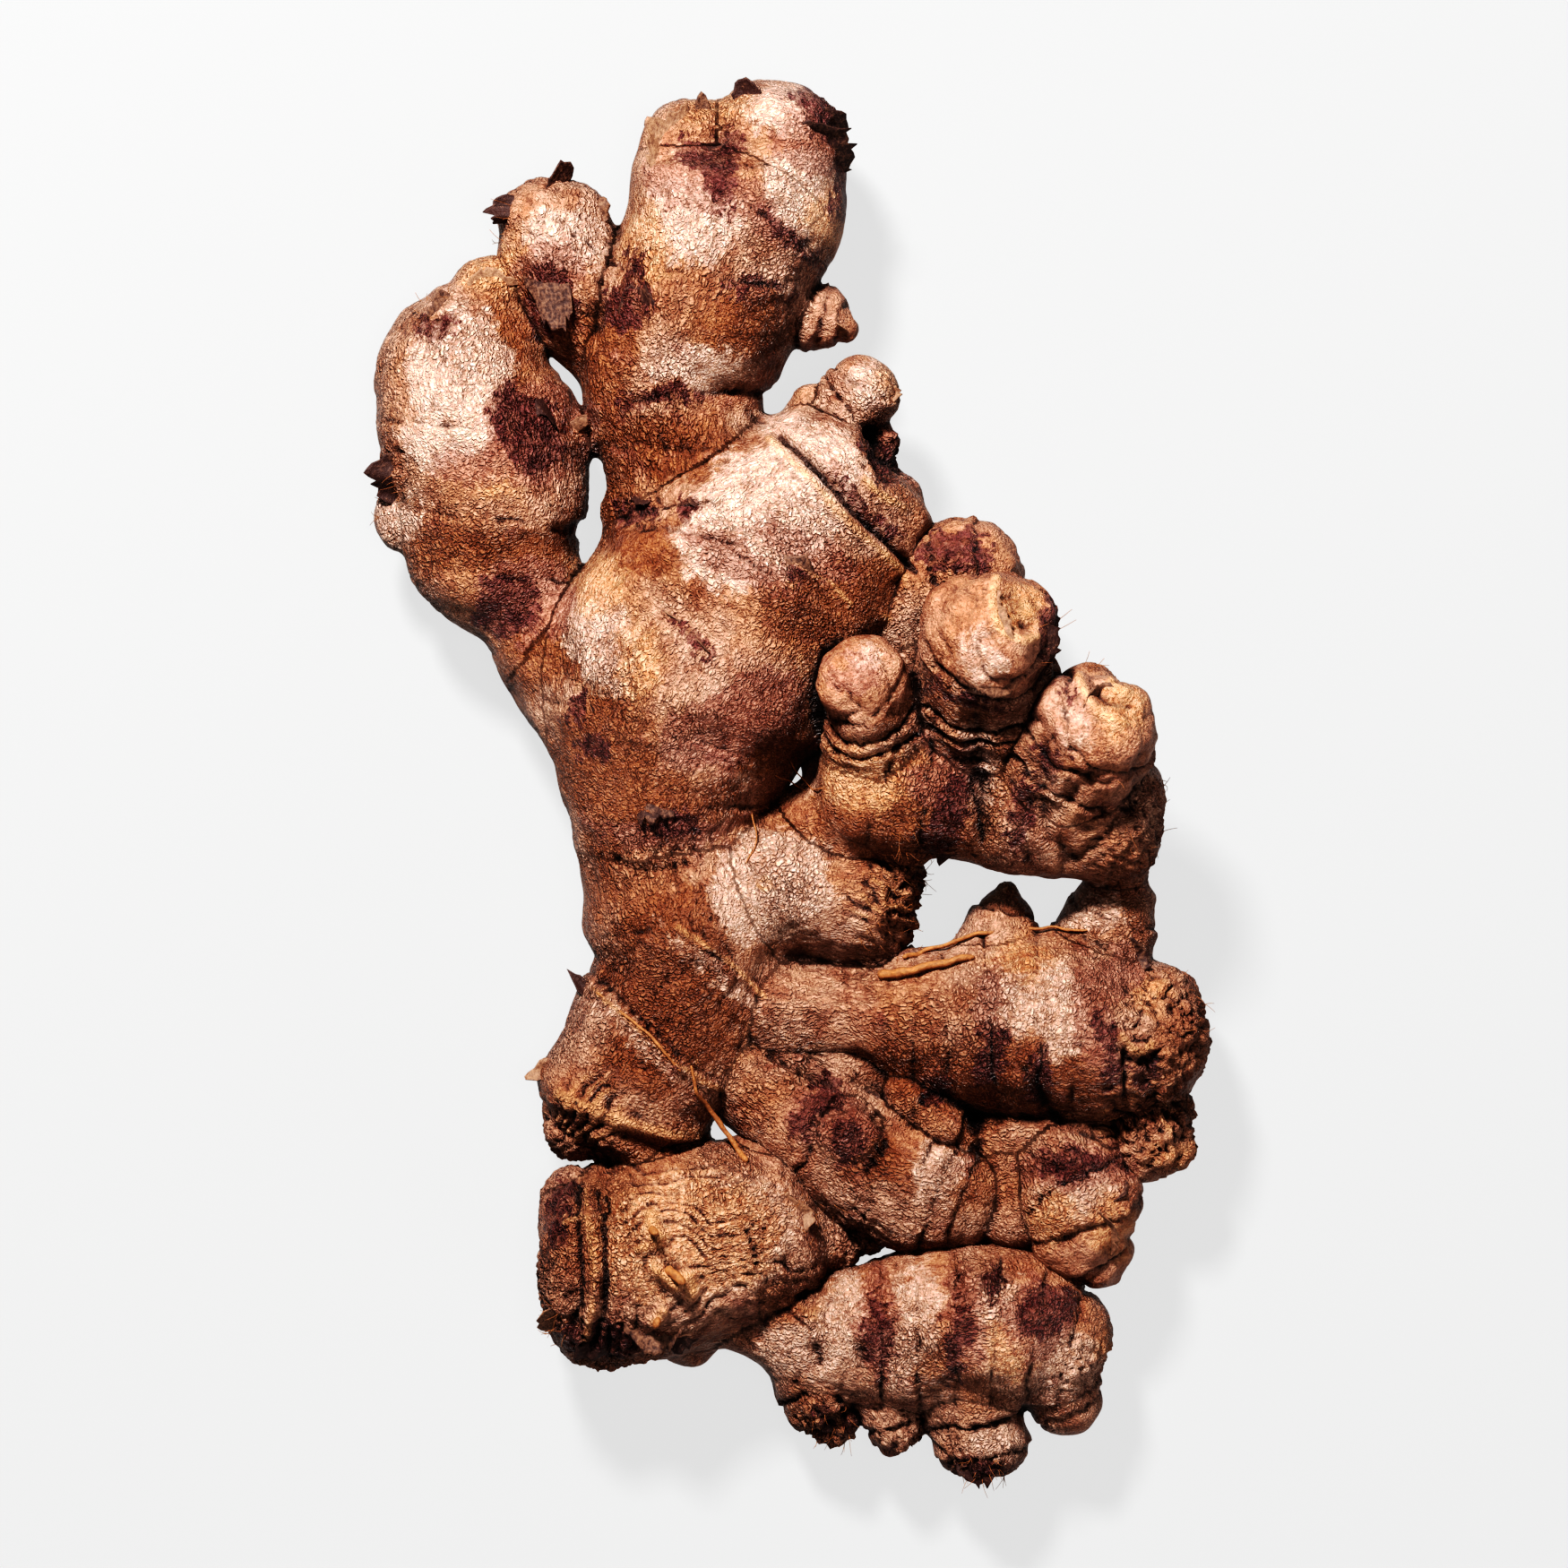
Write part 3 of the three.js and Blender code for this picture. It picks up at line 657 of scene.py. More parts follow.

# %% [markdown]
# Some marks run their own way: the ridge of a dried root that is stuck to the skin, the fold between two
# buds, the hollow scar of a stem that has rotted away. Each is a stroke along a given route in plan,
# raised where its height is positive and sunk where it is negative.

# %% Ridges, folds and scars
# height, half width and route of each stroke, mm
STROKES = [
    (0.55, 0.55, [(-27, -29), (-20, -35), (-13, -41), (-9, -43)]),
    (0.5, 0.5, [(-15, -20), (-8, -25), (-3, -30)]),
    (1.0, 1.3, [(-32, -44), (-26, -46.4), (-20, -48.5), (-13, -49)]),
    (-0.35, 1.0, [(-31, -46.8), (-24, -49.6), (-17, -51)]),
    (-1.5, 0.6, [(-1, 50), (3.6, 45.3), (9.4, 39), (14, 34.6), (18.3, 30)]),
    (0.7, 0.9, [(-2.2, 48.8), (2.4, 44), (8.2, 37.6), (12.8, 33.4), (17, 29)]),
    (-2.4, 1.5, [(12.6, 49.4), (13.4, 46.6), (14.6, 44)]),
    (0.6, 0.8, [(11, 43), (13, 41), (16.6, 39)]),
    (-1.1, 1.6, [(26.4, 9), (27.2, 3), (28, -7)]),
    (-0.9, 1.3, [(33.6, -2.4), (38, -3.4), (42.6, 0.6)]),
    (-0.9, 1.2, [(36, 6), (35.6, 1), (36.6, -6), (40, -10.6)]),
    (-0.8, 1.0, [(50, 4), (48.6, -3), (44.6, -7.6), (41, -11)]),
    (-0.9, 1.1, [(20.4, 9), (22.6, 5.6), (25.6, 3.4)]),
    (-0.8, 0.9, [(-2, -38.6), (4, -41.6), (9, -43.4), (13, -46)]),
    (-0.8, 1.0, [(3.4, -51.6), (4.6, -47.4), (8.4, -44.8)]),
    (-0.9, 0.9, [(13.4, -47), (14.4, -50.6), (11.6, -54.4)]),
    (-1.3, 1.2, [(4.2, -80), (4.6, -82)]),
    (-0.8, 1.2, [(10.2, -80), (10.6, -82.4)]),
    (-1.3, 0.6, [(-26.6, -57.5), (-25.7, -64), (-25.4, -72), (-26.8, -79)]),
    (0.9, 0.8, [(-27.9, -58), (-27.2, -65), (-27, -72), (-28.2, -78)]),
    (-0.9, 0.6, [(-29.4, -61), (-28.9, -70), (-29.8, -76)]),
    (0.8, 0.8, [(29.2, 28.2), (28.6, 25.4), (29.6, 22), (32.2, 20.2), (35, 20.6)]),
    (-1.0, 1.3, [(31.4, 26.4), (32.6, 24.6), (33.8, 22.6)]),
    (1.0, 1.0, [(33.2, 25.2), (33.8, 24.2)]),
    (0.7, 0.8, [(41, 14.6), (43, 11), (46.6, 8.6)]),
    (-0.8, 0.8, [(42.6, 15), (44.6, 12.4), (48, 11)]),
    (0.8, 0.9, [(45.4, 14.2), (47, 12.4)]),
    (1.7, 1.3, [(-19, -61), (-18.6, -63)]),
    (0.9, 0.9, [(-20.6, -65.6), (-18.6, -65), (-17.4, -63.8)]),
    (1.7, 0.9, [(-18.4, -68), (-16.6, -69.6), (-15.6, -70.6)]),
    (1.5, 1.2, [(-14.6, -69.6), (-13.6, -69.4), (-13.4, -71.6)]),
    (1.6, 1.0, [(-17.4, -74), (-18.6, -75.6)]),
    (0.8, 0.7, [(-31, -62), (-28.6, -61.2), (-27, -63)]),
    (0.35, 0.5, [(-3.9, -14), (-3, -13.2), (-2.1, -14), (-3, -14.8), (-3.9, -14)]),
    (0.5, 0.9, [(13.4, 23.8), (14.4, 23.6)]),
    (0.6, 0.9, [(47, -35.6), (49.4, -37.6), (51.4, -36.6)]),
    (-0.8, 0.8, [(46.6, -37), (49, -39), (52, -38.2)]),
    (-0.7, 0.9, [(34, -40), (38, -47), (43, -50)]),
    (0.45, 0.6, [(1.4, 31.4), (3.4, 29.6), (6.4, 28.4), (9, 25.4)]),
    (-0.6, 0.7, [(-24, -10.6), (-20, -12), (-14, -11)]),
]
STROKE_STEP = 0.6  # mm
STROKE_REACH = 4.0  # how far from its route a stroke is worked out, mm
STROKE_STRAY = 0.35  # share of a ring's straying that a stroke has
FEWEST_POINTS = 3


def route_points(route, step):
    """Points at about even steps along a smooth curve through a route."""
    route = np.asarray(route, float)
    span = np.linalg.norm(np.diff(route, axis=0), axis=1).sum()
    return catmull_rom(route, np.linspace(0, 1, max(FEWEST_POINTS, int(span / step))))


ridge = np.zeros(len(points))
on_top = smooth_step(-0.1, 0.3, normals_of(points, quads)[:, 2])
for height, half_width, route in STROKES:
    trail = route_points(route, STROKE_STEP) - MIDDLE
    start, end = trail.min(0) - STROKE_REACH, trail.max(0) + STROKE_REACH
    inside = (points[:, :2] > start) & (points[:, :2] < end)
    some = np.flatnonzero(inside.all(1) & (on_top > 0))
    gaps = points[some, None, :2] - trail[None]
    off = np.sqrt((gaps**2).sum(2)).min(1) + STROKE_STRAY * wander[some]
    bulk = on_top[some] * np.exp(-((off / half_width) ** 2))
    lift[some] += height * bulk
    # a raised stroke is marked as a ridge, which the material paints pale: partly a dry root's colour, partly
    # a painted highlight
    if height > 0:
        ridge[some] = np.maximum(ridge[some], bulk)
    else:
        line[some] = np.maximum(line[some], bulk * line_left[some] * min(1, -height))
print(len(STROKES), "strokes")

# %% [markdown]
# Wrinkles are the borders of a cell pattern in grain coordinates, a millimetre and a half apart. The
# cells are wider round the finger than along it, as skin is on a finger that shrinks lengthwise.
# Old ends are warty: there the cells are bigger and stand out much more.

# %% Swellings, wrinkles and warts
SWELLINGS = ((13.0, 0.8, 41), (5.5, 0.45, 42), (2.6, 0.2, 43))  # size, height (mm) and seed
NET = (1.2, 2.0, 2.0)  # cells of the net of wrinkles, mm along, across and up
STRANDS = (4.5, 1.1, 1.1)  # cells of the lengthwise folds, mm
WRINKLE_DEPTH = 0.17  # mm
FOLDS = (9.0, 4.0, 4.0)  # size of the places where folds fade in and out, mm
FOLD_PITCH = 2.3  # distance between deep folds, mm
WART = 2.7  # mm
BUD_LUMP, BUD_DEPTH = 6.0, 0.9  # size and depth of the creased lumps on a bud, mm
# what the height of each texture is counted from, so that it doesn't swell the skin
WRINKLE_MEAN, WART_MEAN, FOLD_MEAN, LUMP_MEAN = 0.5, 0.45, 0.3, 0.4
PAD_GAP, PAD_ROUND = 0.35, 0.8  # width of the crease between two pads, and how round a pad is
NET_BEND, STRAND_BEND, WART_BEND, CRUMB_BEND, LUMP_BEND = 0.4, 0.3, 0.7, 0.6, 0.2  # in cells
LOBE_SHIFT = 7.7  # moves the pattern of each lobe away from its neighbour's, in cells
BENDS = [(2.4, 60 + i, 2, 0.5) for i in range(3)]  # what bends the patterns along x, y and z
FIBROUS, ZONES = (15.0, 75, 2, 0.5), (9.0, 85, 2, 0.5)  # where skin is fibrous, and where it is wrinkled
WART_RIM, WART_STRAY = 0.5, 2.5  # share of the radius where a warty place is full; its straying, mm
FOLD_RIM, FOLD_STRAY = 0.4, 2.0  # the same of a folded place
FOLD_DRIFT = ((9.0, 1.5, 86), (3.4, 0.7, 87))  # size (mm), drift (in folds) and seed
FOLD_TREMOR = 0.25  # in folds
FULL_FOLD, FOLD_TOP_HIGHLIGHT = 0.6, 0.8  # depth at which fold tops get the fullest painted highlight (mm), and how strong it is
FAINT_WRINKLE = 0.25  # what is left of the wrinkles in the smoothest places
# x, y, radius and height of each warty place, mm
WARTY = [
    (54, -34, 10, 1.5), (53, -49, 8, 1.3), (17, -16, 8, 1.4), (-32, -71, 9, 1.0), (-24, -80, 9, 1.2),
    (-31, -58, 5, 0.9), (-30, -50, 8, 0.9), (28, -97, 6, 0.8), (6, -91, 6, 1.2),
    (16, -92, 5, 1.2), (43, -82, 6, 0.8), (52, -4, 6, 0.8), (48, -11, 6, 0.8), (7, 95, 6, 0.8),
    (-57, 44, 5, 0.9), (14, 47, 5, 1.2), (-3, -57, 7, 0.4), (10, -63, 6, 1.0),
    (25, 32, 8, 0.5), (-33, 80, 8, 0.7), (-20, 38.5, 4, 0.9), (-6, -72, 9, 0.3), (38, -50, 6, 0.3),
]

# x, y, radius and depth of each place that is deeply folded lengthwise, mm
FOLDED = [
    (-13, -65, 19, 0.46), (-29, -46, 9, 0.6), (15, -17, 9, 0.6), (0, -74, 9, 0.5), (38, -56, 10, 0.2),
    (50, -47, 9, 0.6), (6, -92, 7, 0.5), (26, -94, 8, 0.5), (22, 26, 9, 0.3), (42, -34, 9, 0.2),
    (-12, -32, 16, 0.22), (-17, -10, 14, 0.22), (-15, 48, 10, 0.25), (10, -46, 12, 0.3), (46, -4, 8, 0.4),
]

swell = sum(height * value_noise(points / size, seed) for size, height, seed in SWELLINGS)
bend = np.stack([noise_on_skin(*noise) for noise in BENDS], 1)


def round_cells(place, seed):
    """Cells as rounded pads with a sharp crease between them, 0 in the crease and 1 at the top."""
    first, other = cell_noise(place, seed)
    return smooth_step(0.0, PAD_GAP, other - first) * (1 - PAD_ROUND * np.minimum(first, 1) ** 2)


apart = owner[:, None] * LOBE_SHIFT
net = round_cells(grain / NET + bend * NET_BEND + apart, 71)
strands = round_cells(grain / STRANDS + bend * STRAND_BEND + apart, 73)
mix = smooth_step(-0.3, 0.3, noise_on_skin(*FIBROUS))
wrinkle = net * mix + strands * (1 - mix)

warty = np.zeros(len(points))
for x, y, radius, height in WARTY:
    off = np.hypot(points[:, 0] - x + MIDDLE[0], points[:, 1] - y + MIDDLE[1]) + WART_STRAY * bend[:, 0]
    warty = np.maximum(warty, height * smooth_step(radius, radius * WART_RIM, off))
lumps = round_cells(points / WART + bend * WART_BEND, 77)
grains = round_cells(points / (WART * 0.5) + bend * CRUMB_BEND, 78)
lumpy = smooth_step(-0.4, 0.4, value_noise(points / 5, 79))
wart = lumps * (0.3 + 0.5 * lumpy) + grains * (0.45 - 0.3 * lumpy) + 0.35 * value_noise(points / 3.4, 80)

folded = np.zeros(len(points))
for x, y, radius, depth in FOLDED:
    off = np.hypot(points[:, 0] - x + MIDDLE[0], points[:, 1] - y + MIDDLE[1]) + FOLD_STRAY * bend[:, 1]
    folded = np.maximum(folded, depth * smooth_step(radius, radius * FOLD_RIM, off))
drift = sum(share * value_noise(points / size, seed) for size, share, seed in FOLD_DRIFT)
drift += FOLD_TREMOR * bend[:, 2]
wave = np.abs(np.sin(math.pi * (grain[:, 1] / FOLD_PITCH + drift)))
strength = 0.35 + 0.65 * smooth_step(-0.5, 0.4, value_noise(grain / FOLDS + apart, 81))
folds = (1.6 * wave - 0.6) * strength

# the tops of deep folds join the ridge mark, for a painted highlight
fold_tops = np.minimum(folded, FULL_FOLD) / FULL_FOLD * smooth_step(0.3, 0.9, folds)
ridge = np.maximum(ridge, FOLD_TOP_HIGHLIGHT * fold_tops)
crumpled = 2 * np.abs(value_noise(points / BUD_LUMP + bend * LUMP_BEND, 91))
crumpled += 0.35 * np.abs(value_noise(points / BUD_LUMP * 2.1 + bend * LUMP_BEND, 92))

zone = smooth_step(-0.45, 0.5, noise_on_skin(*ZONES))
wrinkle_depth = WRINKLE_DEPTH * (FAINT_WRINKLE + (1 - FAINT_WRINKLE) * zone) * (1 - tender)
height = swell + lift + wrinkle_depth * (wrinkle - WRINKLE_MEAN)
height += warty * (wart - WART_MEAN) + folded * (folds - FOLD_MEAN)
height += BUD_DEPTH * tender * (crumpled - LUMP_MEAN)
normals = normals_of(points, quads)
skin_points = points + normals * height[:, None]
skin_points[:, 2] = np.maximum(skin_points[:, 2], 0)
print("skin moved", round(float(height.min()), 2), "to", round(float(height.max()), 2), "mm")

# %% [markdown]
# Where a point lies below the mean of the skin around it, the material paints shade, with some dirt. That
# hollowness is measured at two sizes on the finished shape, for the material to darken.

# %% Hollows
SOFT_ROUNDS, SOFTER_ROUNDS, BROAD_ROUNDS = 10, 60, 15  # of averaging with the points beside

normals = normals_of(skin_points, quads)
soft = neighbour_mean(skin_points, quads, SOFT_ROUNDS)
softer = neighbour_mean(soft, quads, SOFTER_ROUNDS)
hollow_small = ((soft - skin_points) * normals).sum(1)
hollow_big = ((softer - soft) * normals).sum(1)
print("hollows", hollow_small.std().round(3), hollow_big.std().round(3), "mm")

# %% [markdown]
# ## Where the skin has other colours
# Fresh ginger is tan, but remains of its scale leaves leave purple-brown triangles and bands with
# ragged borders, rubbed places show pale and papery, and young growing tips are amber. The pale patches
# also lie where tops catch the light, so they are partly a painted highlight. Each patch is an
# ellipse in plan whose border is pulled about by noise. What is stored is how far inside the patch a
# point is, so that the material can draw a crisp ragged border between the points.

# %% Patches
# x, y, half sizes and turn in degrees (lengths in mm)
PATCHES = {
    "sheath": [
        (-11, 89.5, 5.4, 2.6, 8), (-9.6, 87, 3.2, 4.2, 0), (-8.8, 84, 1.8, 4, 10),
        (5, 95, 5, 3, -40), (9, 84, 2.5, 5, 0), (-22.5, 68, 4.2, 4.2, 45),
        (-21.5, 72, 2.2, 4, 0), (-4.6, 69.8, 5.2, 1.1, -4), (0, 77.6, 5.5, 1.2, -38),
        (-17, 54.6, 6, 1.3, 4), (-36, 50, 5, 6.5, 30), (-33, 68, 3.5, 5.5, 10), (-49, 64.5, 3, 2, 0),
        (-39, 25, 4.5, 4.5, 0), (-20.5, 38.5, 3.4, 1.6, 0), (-13.5, 38.4, 1.8, 2.2, 0),
        (1.6, 30, 2.4, 1.2, -32), (-12.5, 19.5, 2.6, 1.4, -30), (-16, 22.5, 1.4, 0.8, -20),
        (-16, -4.4, 4, 1.6, 4), (-27, 5, 2.4, 3, 20), (-30, 11, 1.6, 2.2, 0),
        (13.5, 46, 2.4, 4.2, 15), (11, 39, 1.2, 6, 45), (28.5, -38.5, 2.2, 5, 0), (35.6, -41.5, 1.6, 5, 5),
        (21.5, -43, 2.4, 2.2, 0), (50, -39.5, 2, 3, 0), (44.6, -37, 1.4, 5.5, 10), (41, -53.6, 6, 2, 0),
        (13.2, -77, 2, 5, 0), (24.5, -78.6, 1.6, 5.5, 0), (37.4, -74.4, 5, 3.4, 20), (29, -71, 1.6, 3.4, 0),
        (4.4, -46, 1.8, 5, -30), (8.6, -50.6, 2.6, 2.6, 0), (38.4, 20, 2, 7, 5), (24, 12.6, 6.5, 1.2, -8),
        (22.5, -4.4, 3, 6, -20), (24, 33, 6, 3, 0), (33, -5, 2, 6, 0), (36, 3, 2, 3, 10),
        (-26, -78, 6, 3.4, 0), (-32, -61, 2, 5, 0), (8, -90, 3, 2, 0), (27, -98, 5, 1.6, 0),
    ],
    "mauve": [
        (4, 90.5, 5.5, 4.5, -25), (-12, 84, 9, 3, -10), (-34.5, 50, 8, 8, 20), (-36.5, 26, 7, 6, 0),
        (-3, 79.5, 9, 2.4, -34), (3, 33, 8, 3, -32), (-6, 31, 9, 2.6, -30), (47, -27, 4.4, 4, 0),
        (28.6, -34, 2.2, 9, 0), (43, -33, 3, 8, 8), (13, -76, 3, 8, 0), (25, -76, 2.6, 8, 0),
        (36, -76, 6, 5, 0), (-17, -6, 9, 2.2, 0), (7, -48, 6, 5, -30), (41, -54, 9, 3, 0),
        (-33, 73, 5, 4, 0), (-6, 9, 12, 5, 24), (10, 15, 4, 3, 0), (20, 45, 3, 8, 45), (-44, 45, 6, 3, 0),
        (23, 1, 5, 5, 0), (-3, 12, 6, 4, 20),
    ],
    # pale patches: rubbed papery skin and, partly, a painted highlight
    "pale_and_highlight": [
        (-2, 38.5, 15, 9.5, 38), (-14, 79, 8, 6, 0), (3, 83, 6, 7, 0), (-12, 58.4, 7, 3, 0),
        (-46, 57, 8, 10, 0), (-50, 48, 5, 4, 0), (30.8, -30.6, 4.2, 5.6, 0), (38, -32, 3.8, 7, 0),
        (-2, -14, 9, 8, 20), (-26, 20, 5, 8, 10), (27, 18, 3, 4, 0),
        (11, 17, 2.4, 2, 0), (40, 8, 2.4, 4, 0), (-8, -28, 1, 8, 50), (8.6, -76, 3.6, 7, 0),
        (19, -75, 3.4, 7, 0),
        (30, -77, 4, 8, 0), (39, -82, 6, 5, 0), (30, -94, 4, 3, 0), (0, -80, 4, 4, 0),
        (-12, -64, 14, 9, 10), (27, 2, 3.4, 6, 0), (16, -80, 3, 5, 0), (36, -82, 5, 4, 0),
        (5, -80, 4, 4, 0), (-31, 77, 6, 5, 0),
        (12.4, 57, 4, 4, 0), (4, 47, 9, 3, -45), (41, -58, 6, 4, 0), (22, -55, 4, 4, 60),
        (-55, 37.5, 3.4, 4.2, 0), (-1, 96, 6, 4, 0), (44, -18, 4, 4, 0), (-21, -36, 1, 8, 50),
    ],
    "amber": [
        (-41.5, 73, 5, 4.4, 0), (15, 57.6, 2.4, 3.4, 0), (32.6, 24.6, 3.6, 3.8, 0), (46.4, 10.6, 3.4, 4, 0),
        (55, -52.6, 3.2, 2.6, 0), (46.2, -63, 3, 4.4, 10), (-21, 17, 3.2, 6, 0), (-26, 28, 4, 4, 0),
        (33, -24.5, 5.5, 2.4, -4), (14.6, 1, 4, 4, 0), (-20, 76, 4, 6, 0), (7.4, 80, 4, 5, 0),
        (-40.6, 42, 3, 2, 0), (-28.5, 50, 2, 2, 0), (4, 15, 2, 4, 0), (-29, 31.5, 3, 2, 0),
        (-9, 97, 5, 2.4, 0), (-14, -64, 14, 8.5, 10), (9, 2, 4, 5, 0), (31, -80, 4, 4, 0),
        (47, -80, 3, 3, 0), (38, -61, 4, 4, 0), (51.8, -30, 3, 2.4, 0),
    ],
    "rust": [
        (-16, -21, 9, 7, 20), (12, -52, 8, 4, -35), (-18, -2, 12, 3.6, 0), (-26, 4, 8, 8, 0),
        (-3, 8, 8, 7, 30), (8, 25, 10, 6, 30),
        (-15, 47, 12, 5, 0), (-24, 44, 3, 12, 0), (-18, 33, 8, 4, 0), (-17, -26, 10, 5, 0),
        (-6, 64, 6, 6, 0), (-25, 62, 5, 8, 0), (-38, 33, 9, 4, 0), (16, -5, 10, 5, 0),
        (-15, -34, 12, 8, 40), (34, -43, 14, 5, 0), (18, -40, 8, 4, 0),
        (-34, 19, 8, 5, 40), (-40, 60, 4, 8, 0), (-50, 34, 6, 4, 0), (-26, -10, 3, 12, 0),
    ],
}
NO_PATCH = -3.0  # how far outside every patch counts as none, mm

RAGGED, RAGGED_ACROSS = (4.0, 91, 6, 0.75), (4.0, 96, 6, 0.75)
RAGGED_REACH = 3.6  # how far a patch's border strays, mm
# patches that come by chance: size, deepest and rarity, and how much rarer they are on top, mm
CHANCE_SIZE, CHANCE_DEPTH, CHANCE_RARITY = 8.0, 7.0, 3.2
DEEPEST_CHANCE, RARER_ON_TOP = 2.0, 1.5
PATCH_SEED, PATCH_SEED_STEP = 101, 7

ragged = noise_on_skin(*RAGGED) * RAGGED_REACH
ragged_across = noise_on_skin(*RAGGED_ACROSS) * RAGGED_REACH
upper = smooth_step(-0.35, 0.05, normals[:, 2])


def patch_depth(patches, seed):
    """How far inside the nearest of the patches each point is, mm."""
    best = np.full(len(points), NO_PATCH)
    for x, y, half_x, half_y, turn in patches:
        turn = math.radians(turn)
        flat = points[:, :2] - (x - MIDDLE[0], y - MIDDLE[1])
        flat = flat + np.stack([ragged, ragged_across], 1)
        u = flat @ (math.cos(turn), math.sin(turn)) / half_x
        v = flat @ (-math.sin(turn), math.cos(turn)) / half_y
        best = np.maximum(best, (1 - np.hypot(u, v)) * min(half_x, half_y))
    chance = noise_on_skin(CHANCE_SIZE, seed, 5, 0.62) * CHANCE_DEPTH - CHANCE_RARITY
    drawn = best * upper + NO_PATCH * (1 - upper)
    return np.maximum(drawn, np.minimum(chance, DEEPEST_CHANCE) - RARER_ON_TOP * upper)


patches = {
    kind: patch_depth(places, PATCH_SEED + PATCH_SEED_STEP * n)
    for n, (kind, places) in enumerate(PATCHES.items())
}
print({kind: f"{(depth > 0).mean():.0%}" for kind, depth in patches.items()})

# %% [markdown]
# ## The skin as a Blender object
# The skin replaces the plain solid of the frame. What was worked out for each of its points is stored with
# it, so that the material can use it.

# %% Make the skin
GRAIN_SHIFT = (31.0, 17.0, 0.0)  # keeps the fine patterns of two lobes apart, mm
ROUGHEST = 1.5

skin = mesh_object("ginger_skin", skin_points, quads)
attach(skin, "root")
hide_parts("rhizome")
skin.data.shade_smooth()


def store(mesh, name, values):
    kind = "FLOAT_VECTOR" if values.ndim == 2 else "FLOAT"
    layer = mesh.attributes.new(name, kind, "POINT")
    layer.data.foreach_set("vector" if values.ndim == 2 else "value", values.astype(np.float32).ravel())


store(skin.data, "grain", grain + owner[:, None] * GRAIN_SHIFT)
store(skin.data, "relief", wrinkle)
store(skin.data, "ring_line", line)
store(skin.data, "scale_band", band)
store(skin.data, "ridge", ridge)
store(skin.data, "tender", tender)
store(skin.data, "zone", zone)
store(skin.data, "rough_place", np.clip(warty + folded, 0, ROUGHEST))
# how far the skin faces up, which the material uses for painted shade on the sides
store(skin.data, "upward", neighbour_mean(normals[:, 2], quads, BROAD_ROUNDS))
store(skin.data, "hollow_small", hollow_small)
store(skin.data, "hollow_big", hollow_big)
store(skin.data, "fibrous", 1 - mix)
for kind, depth in patches.items():
    store(skin.data, kind, depth)
print("skin has", len(skin.data.polygons), "faces")

# %% [markdown]
# The map is cut where the skin turns from one of the six directions to another, and between lobes. Each
# cut-out lies in the map as it looks from its own direction, at true scale, so nothing in it overlaps.
# The cut-outs are then set out on shelves, tallest first.

# %% Map for baking
CHART_GAP = 1.2  # between cut-outs, mm
SHELF_ROOM = 1.1  # side of the map, over that of a square as big as all the cut-outs
# axis and sign that a cut-out faces: the axes across it and up it, and which way round it is drawn
LOOKS = {
    (0, 1): (1, 2, 1), (0, -1): (1, 2, -1), (1, 1): (0, 2, -1),
    (1, -1): (0, 2, 1), (2, 1): (0, 1, 1), (2, -1): (0, 1, -1),
}


def shelve(sizes, width):
    """Lower left corner of each rectangle when they are set out on shelves, and the height used."""
    corners = np.zeros_like(sizes)
    x = y = shelf = 0.0
    for i in np.argsort(-sizes[:, 1]):
        if x + sizes[i, 0] > width:
            x, y, shelf = 0.0, y + shelf, 0.0
        corners[i] = x, y
        x, shelf = x + sizes[i, 0], max(shelf, sizes[i, 1])
    return corners, y + shelf


facing = neighbour_mean(normals, quads, BROAD_ROUNDS)[quads].mean(1)
axis_of_face = np.abs(facing).argmax(1)
sign_of_face = np.where(np.take_along_axis(facing, axis_of_face[:, None], 1)[:, 0] > 0, 1, -1)
chart = (owner[quads[:, 0]] * 3 + axis_of_face) * 2 + (sign_of_face > 0)
chart_names, chart = np.unique(chart, return_inverse=True)
flat = np.zeros((len(quads), 4, 2))
for (axis, sign), (across, up, flip) in LOOKS.items():
    those = (axis_of_face == axis) & (sign_of_face == sign)
    flat[those] = skin_points[quads[those]][:, :, [across, up]] * (flip, 1)
lowest = np.full((len(chart_names), 2), np.inf)
highest = np.full((len(chart_names), 2), -np.inf)
np.minimum.at(lowest, chart, flat.min(1))
np.maximum.at(highest, chart, flat.max(1))
sizes = highest - lowest + CHART_GAP
map_width = SHELF_ROOM * math.sqrt(sizes.prod(1).sum())
corners, used = shelve(sizes, map_width)
flat += (corners + CHART_GAP / 2 - lowest)[chart][:, None]
flat /= max(used, map_width)
uv_layer = skin.data.uv_layers.new(name="OFBake")
uv_layer.data.foreach_set("uv", flat.astype(np.float32).ravel())
print(len(chart_names), "cut-outs, map", flat.min().round(3), "to", flat.max().round(3))

# %% [markdown]
# ## Colours
# Hex colours are sRGB, as a colour picker shows them. Blender's sockets take linear values.

# %% Colour and node helpers
def linear(hex_colour, alpha=1.0):
    """Linear RGBA of an sRGB hex colour."""
    parts = [int(hex_colour[i : i + 2], 16) / 255 for i in (1, 3, 5)]
    return (*[c / 12.92 if c <= 0.04045 else ((c + 0.055) / 1.055) ** 2.4 for c in parts], alpha)


def add(tree, kind, settings=None, **inputs):
    """A node with its settings; each input is a value, or an output socket to link."""
    node = tree.nodes.new(kind)
    for name, value in (settings or {}).items():
        setattr(node, name, value)
    for name, value in inputs.items():
        key = int(name[1:]) if name[0] == "_" else name.replace("_", " ")
        socket = node.inputs[key]
        if isinstance(value, bpy.types.NodeSocket):
            tree.links.new(value, socket)
        else:
            socket.default_value = value
    return node


def new_material(name):
    material = bpy.data.materials.new(name)
    material.use_nodes = True
    material.node_tree.nodes.clear()
    return material, material.node_tree
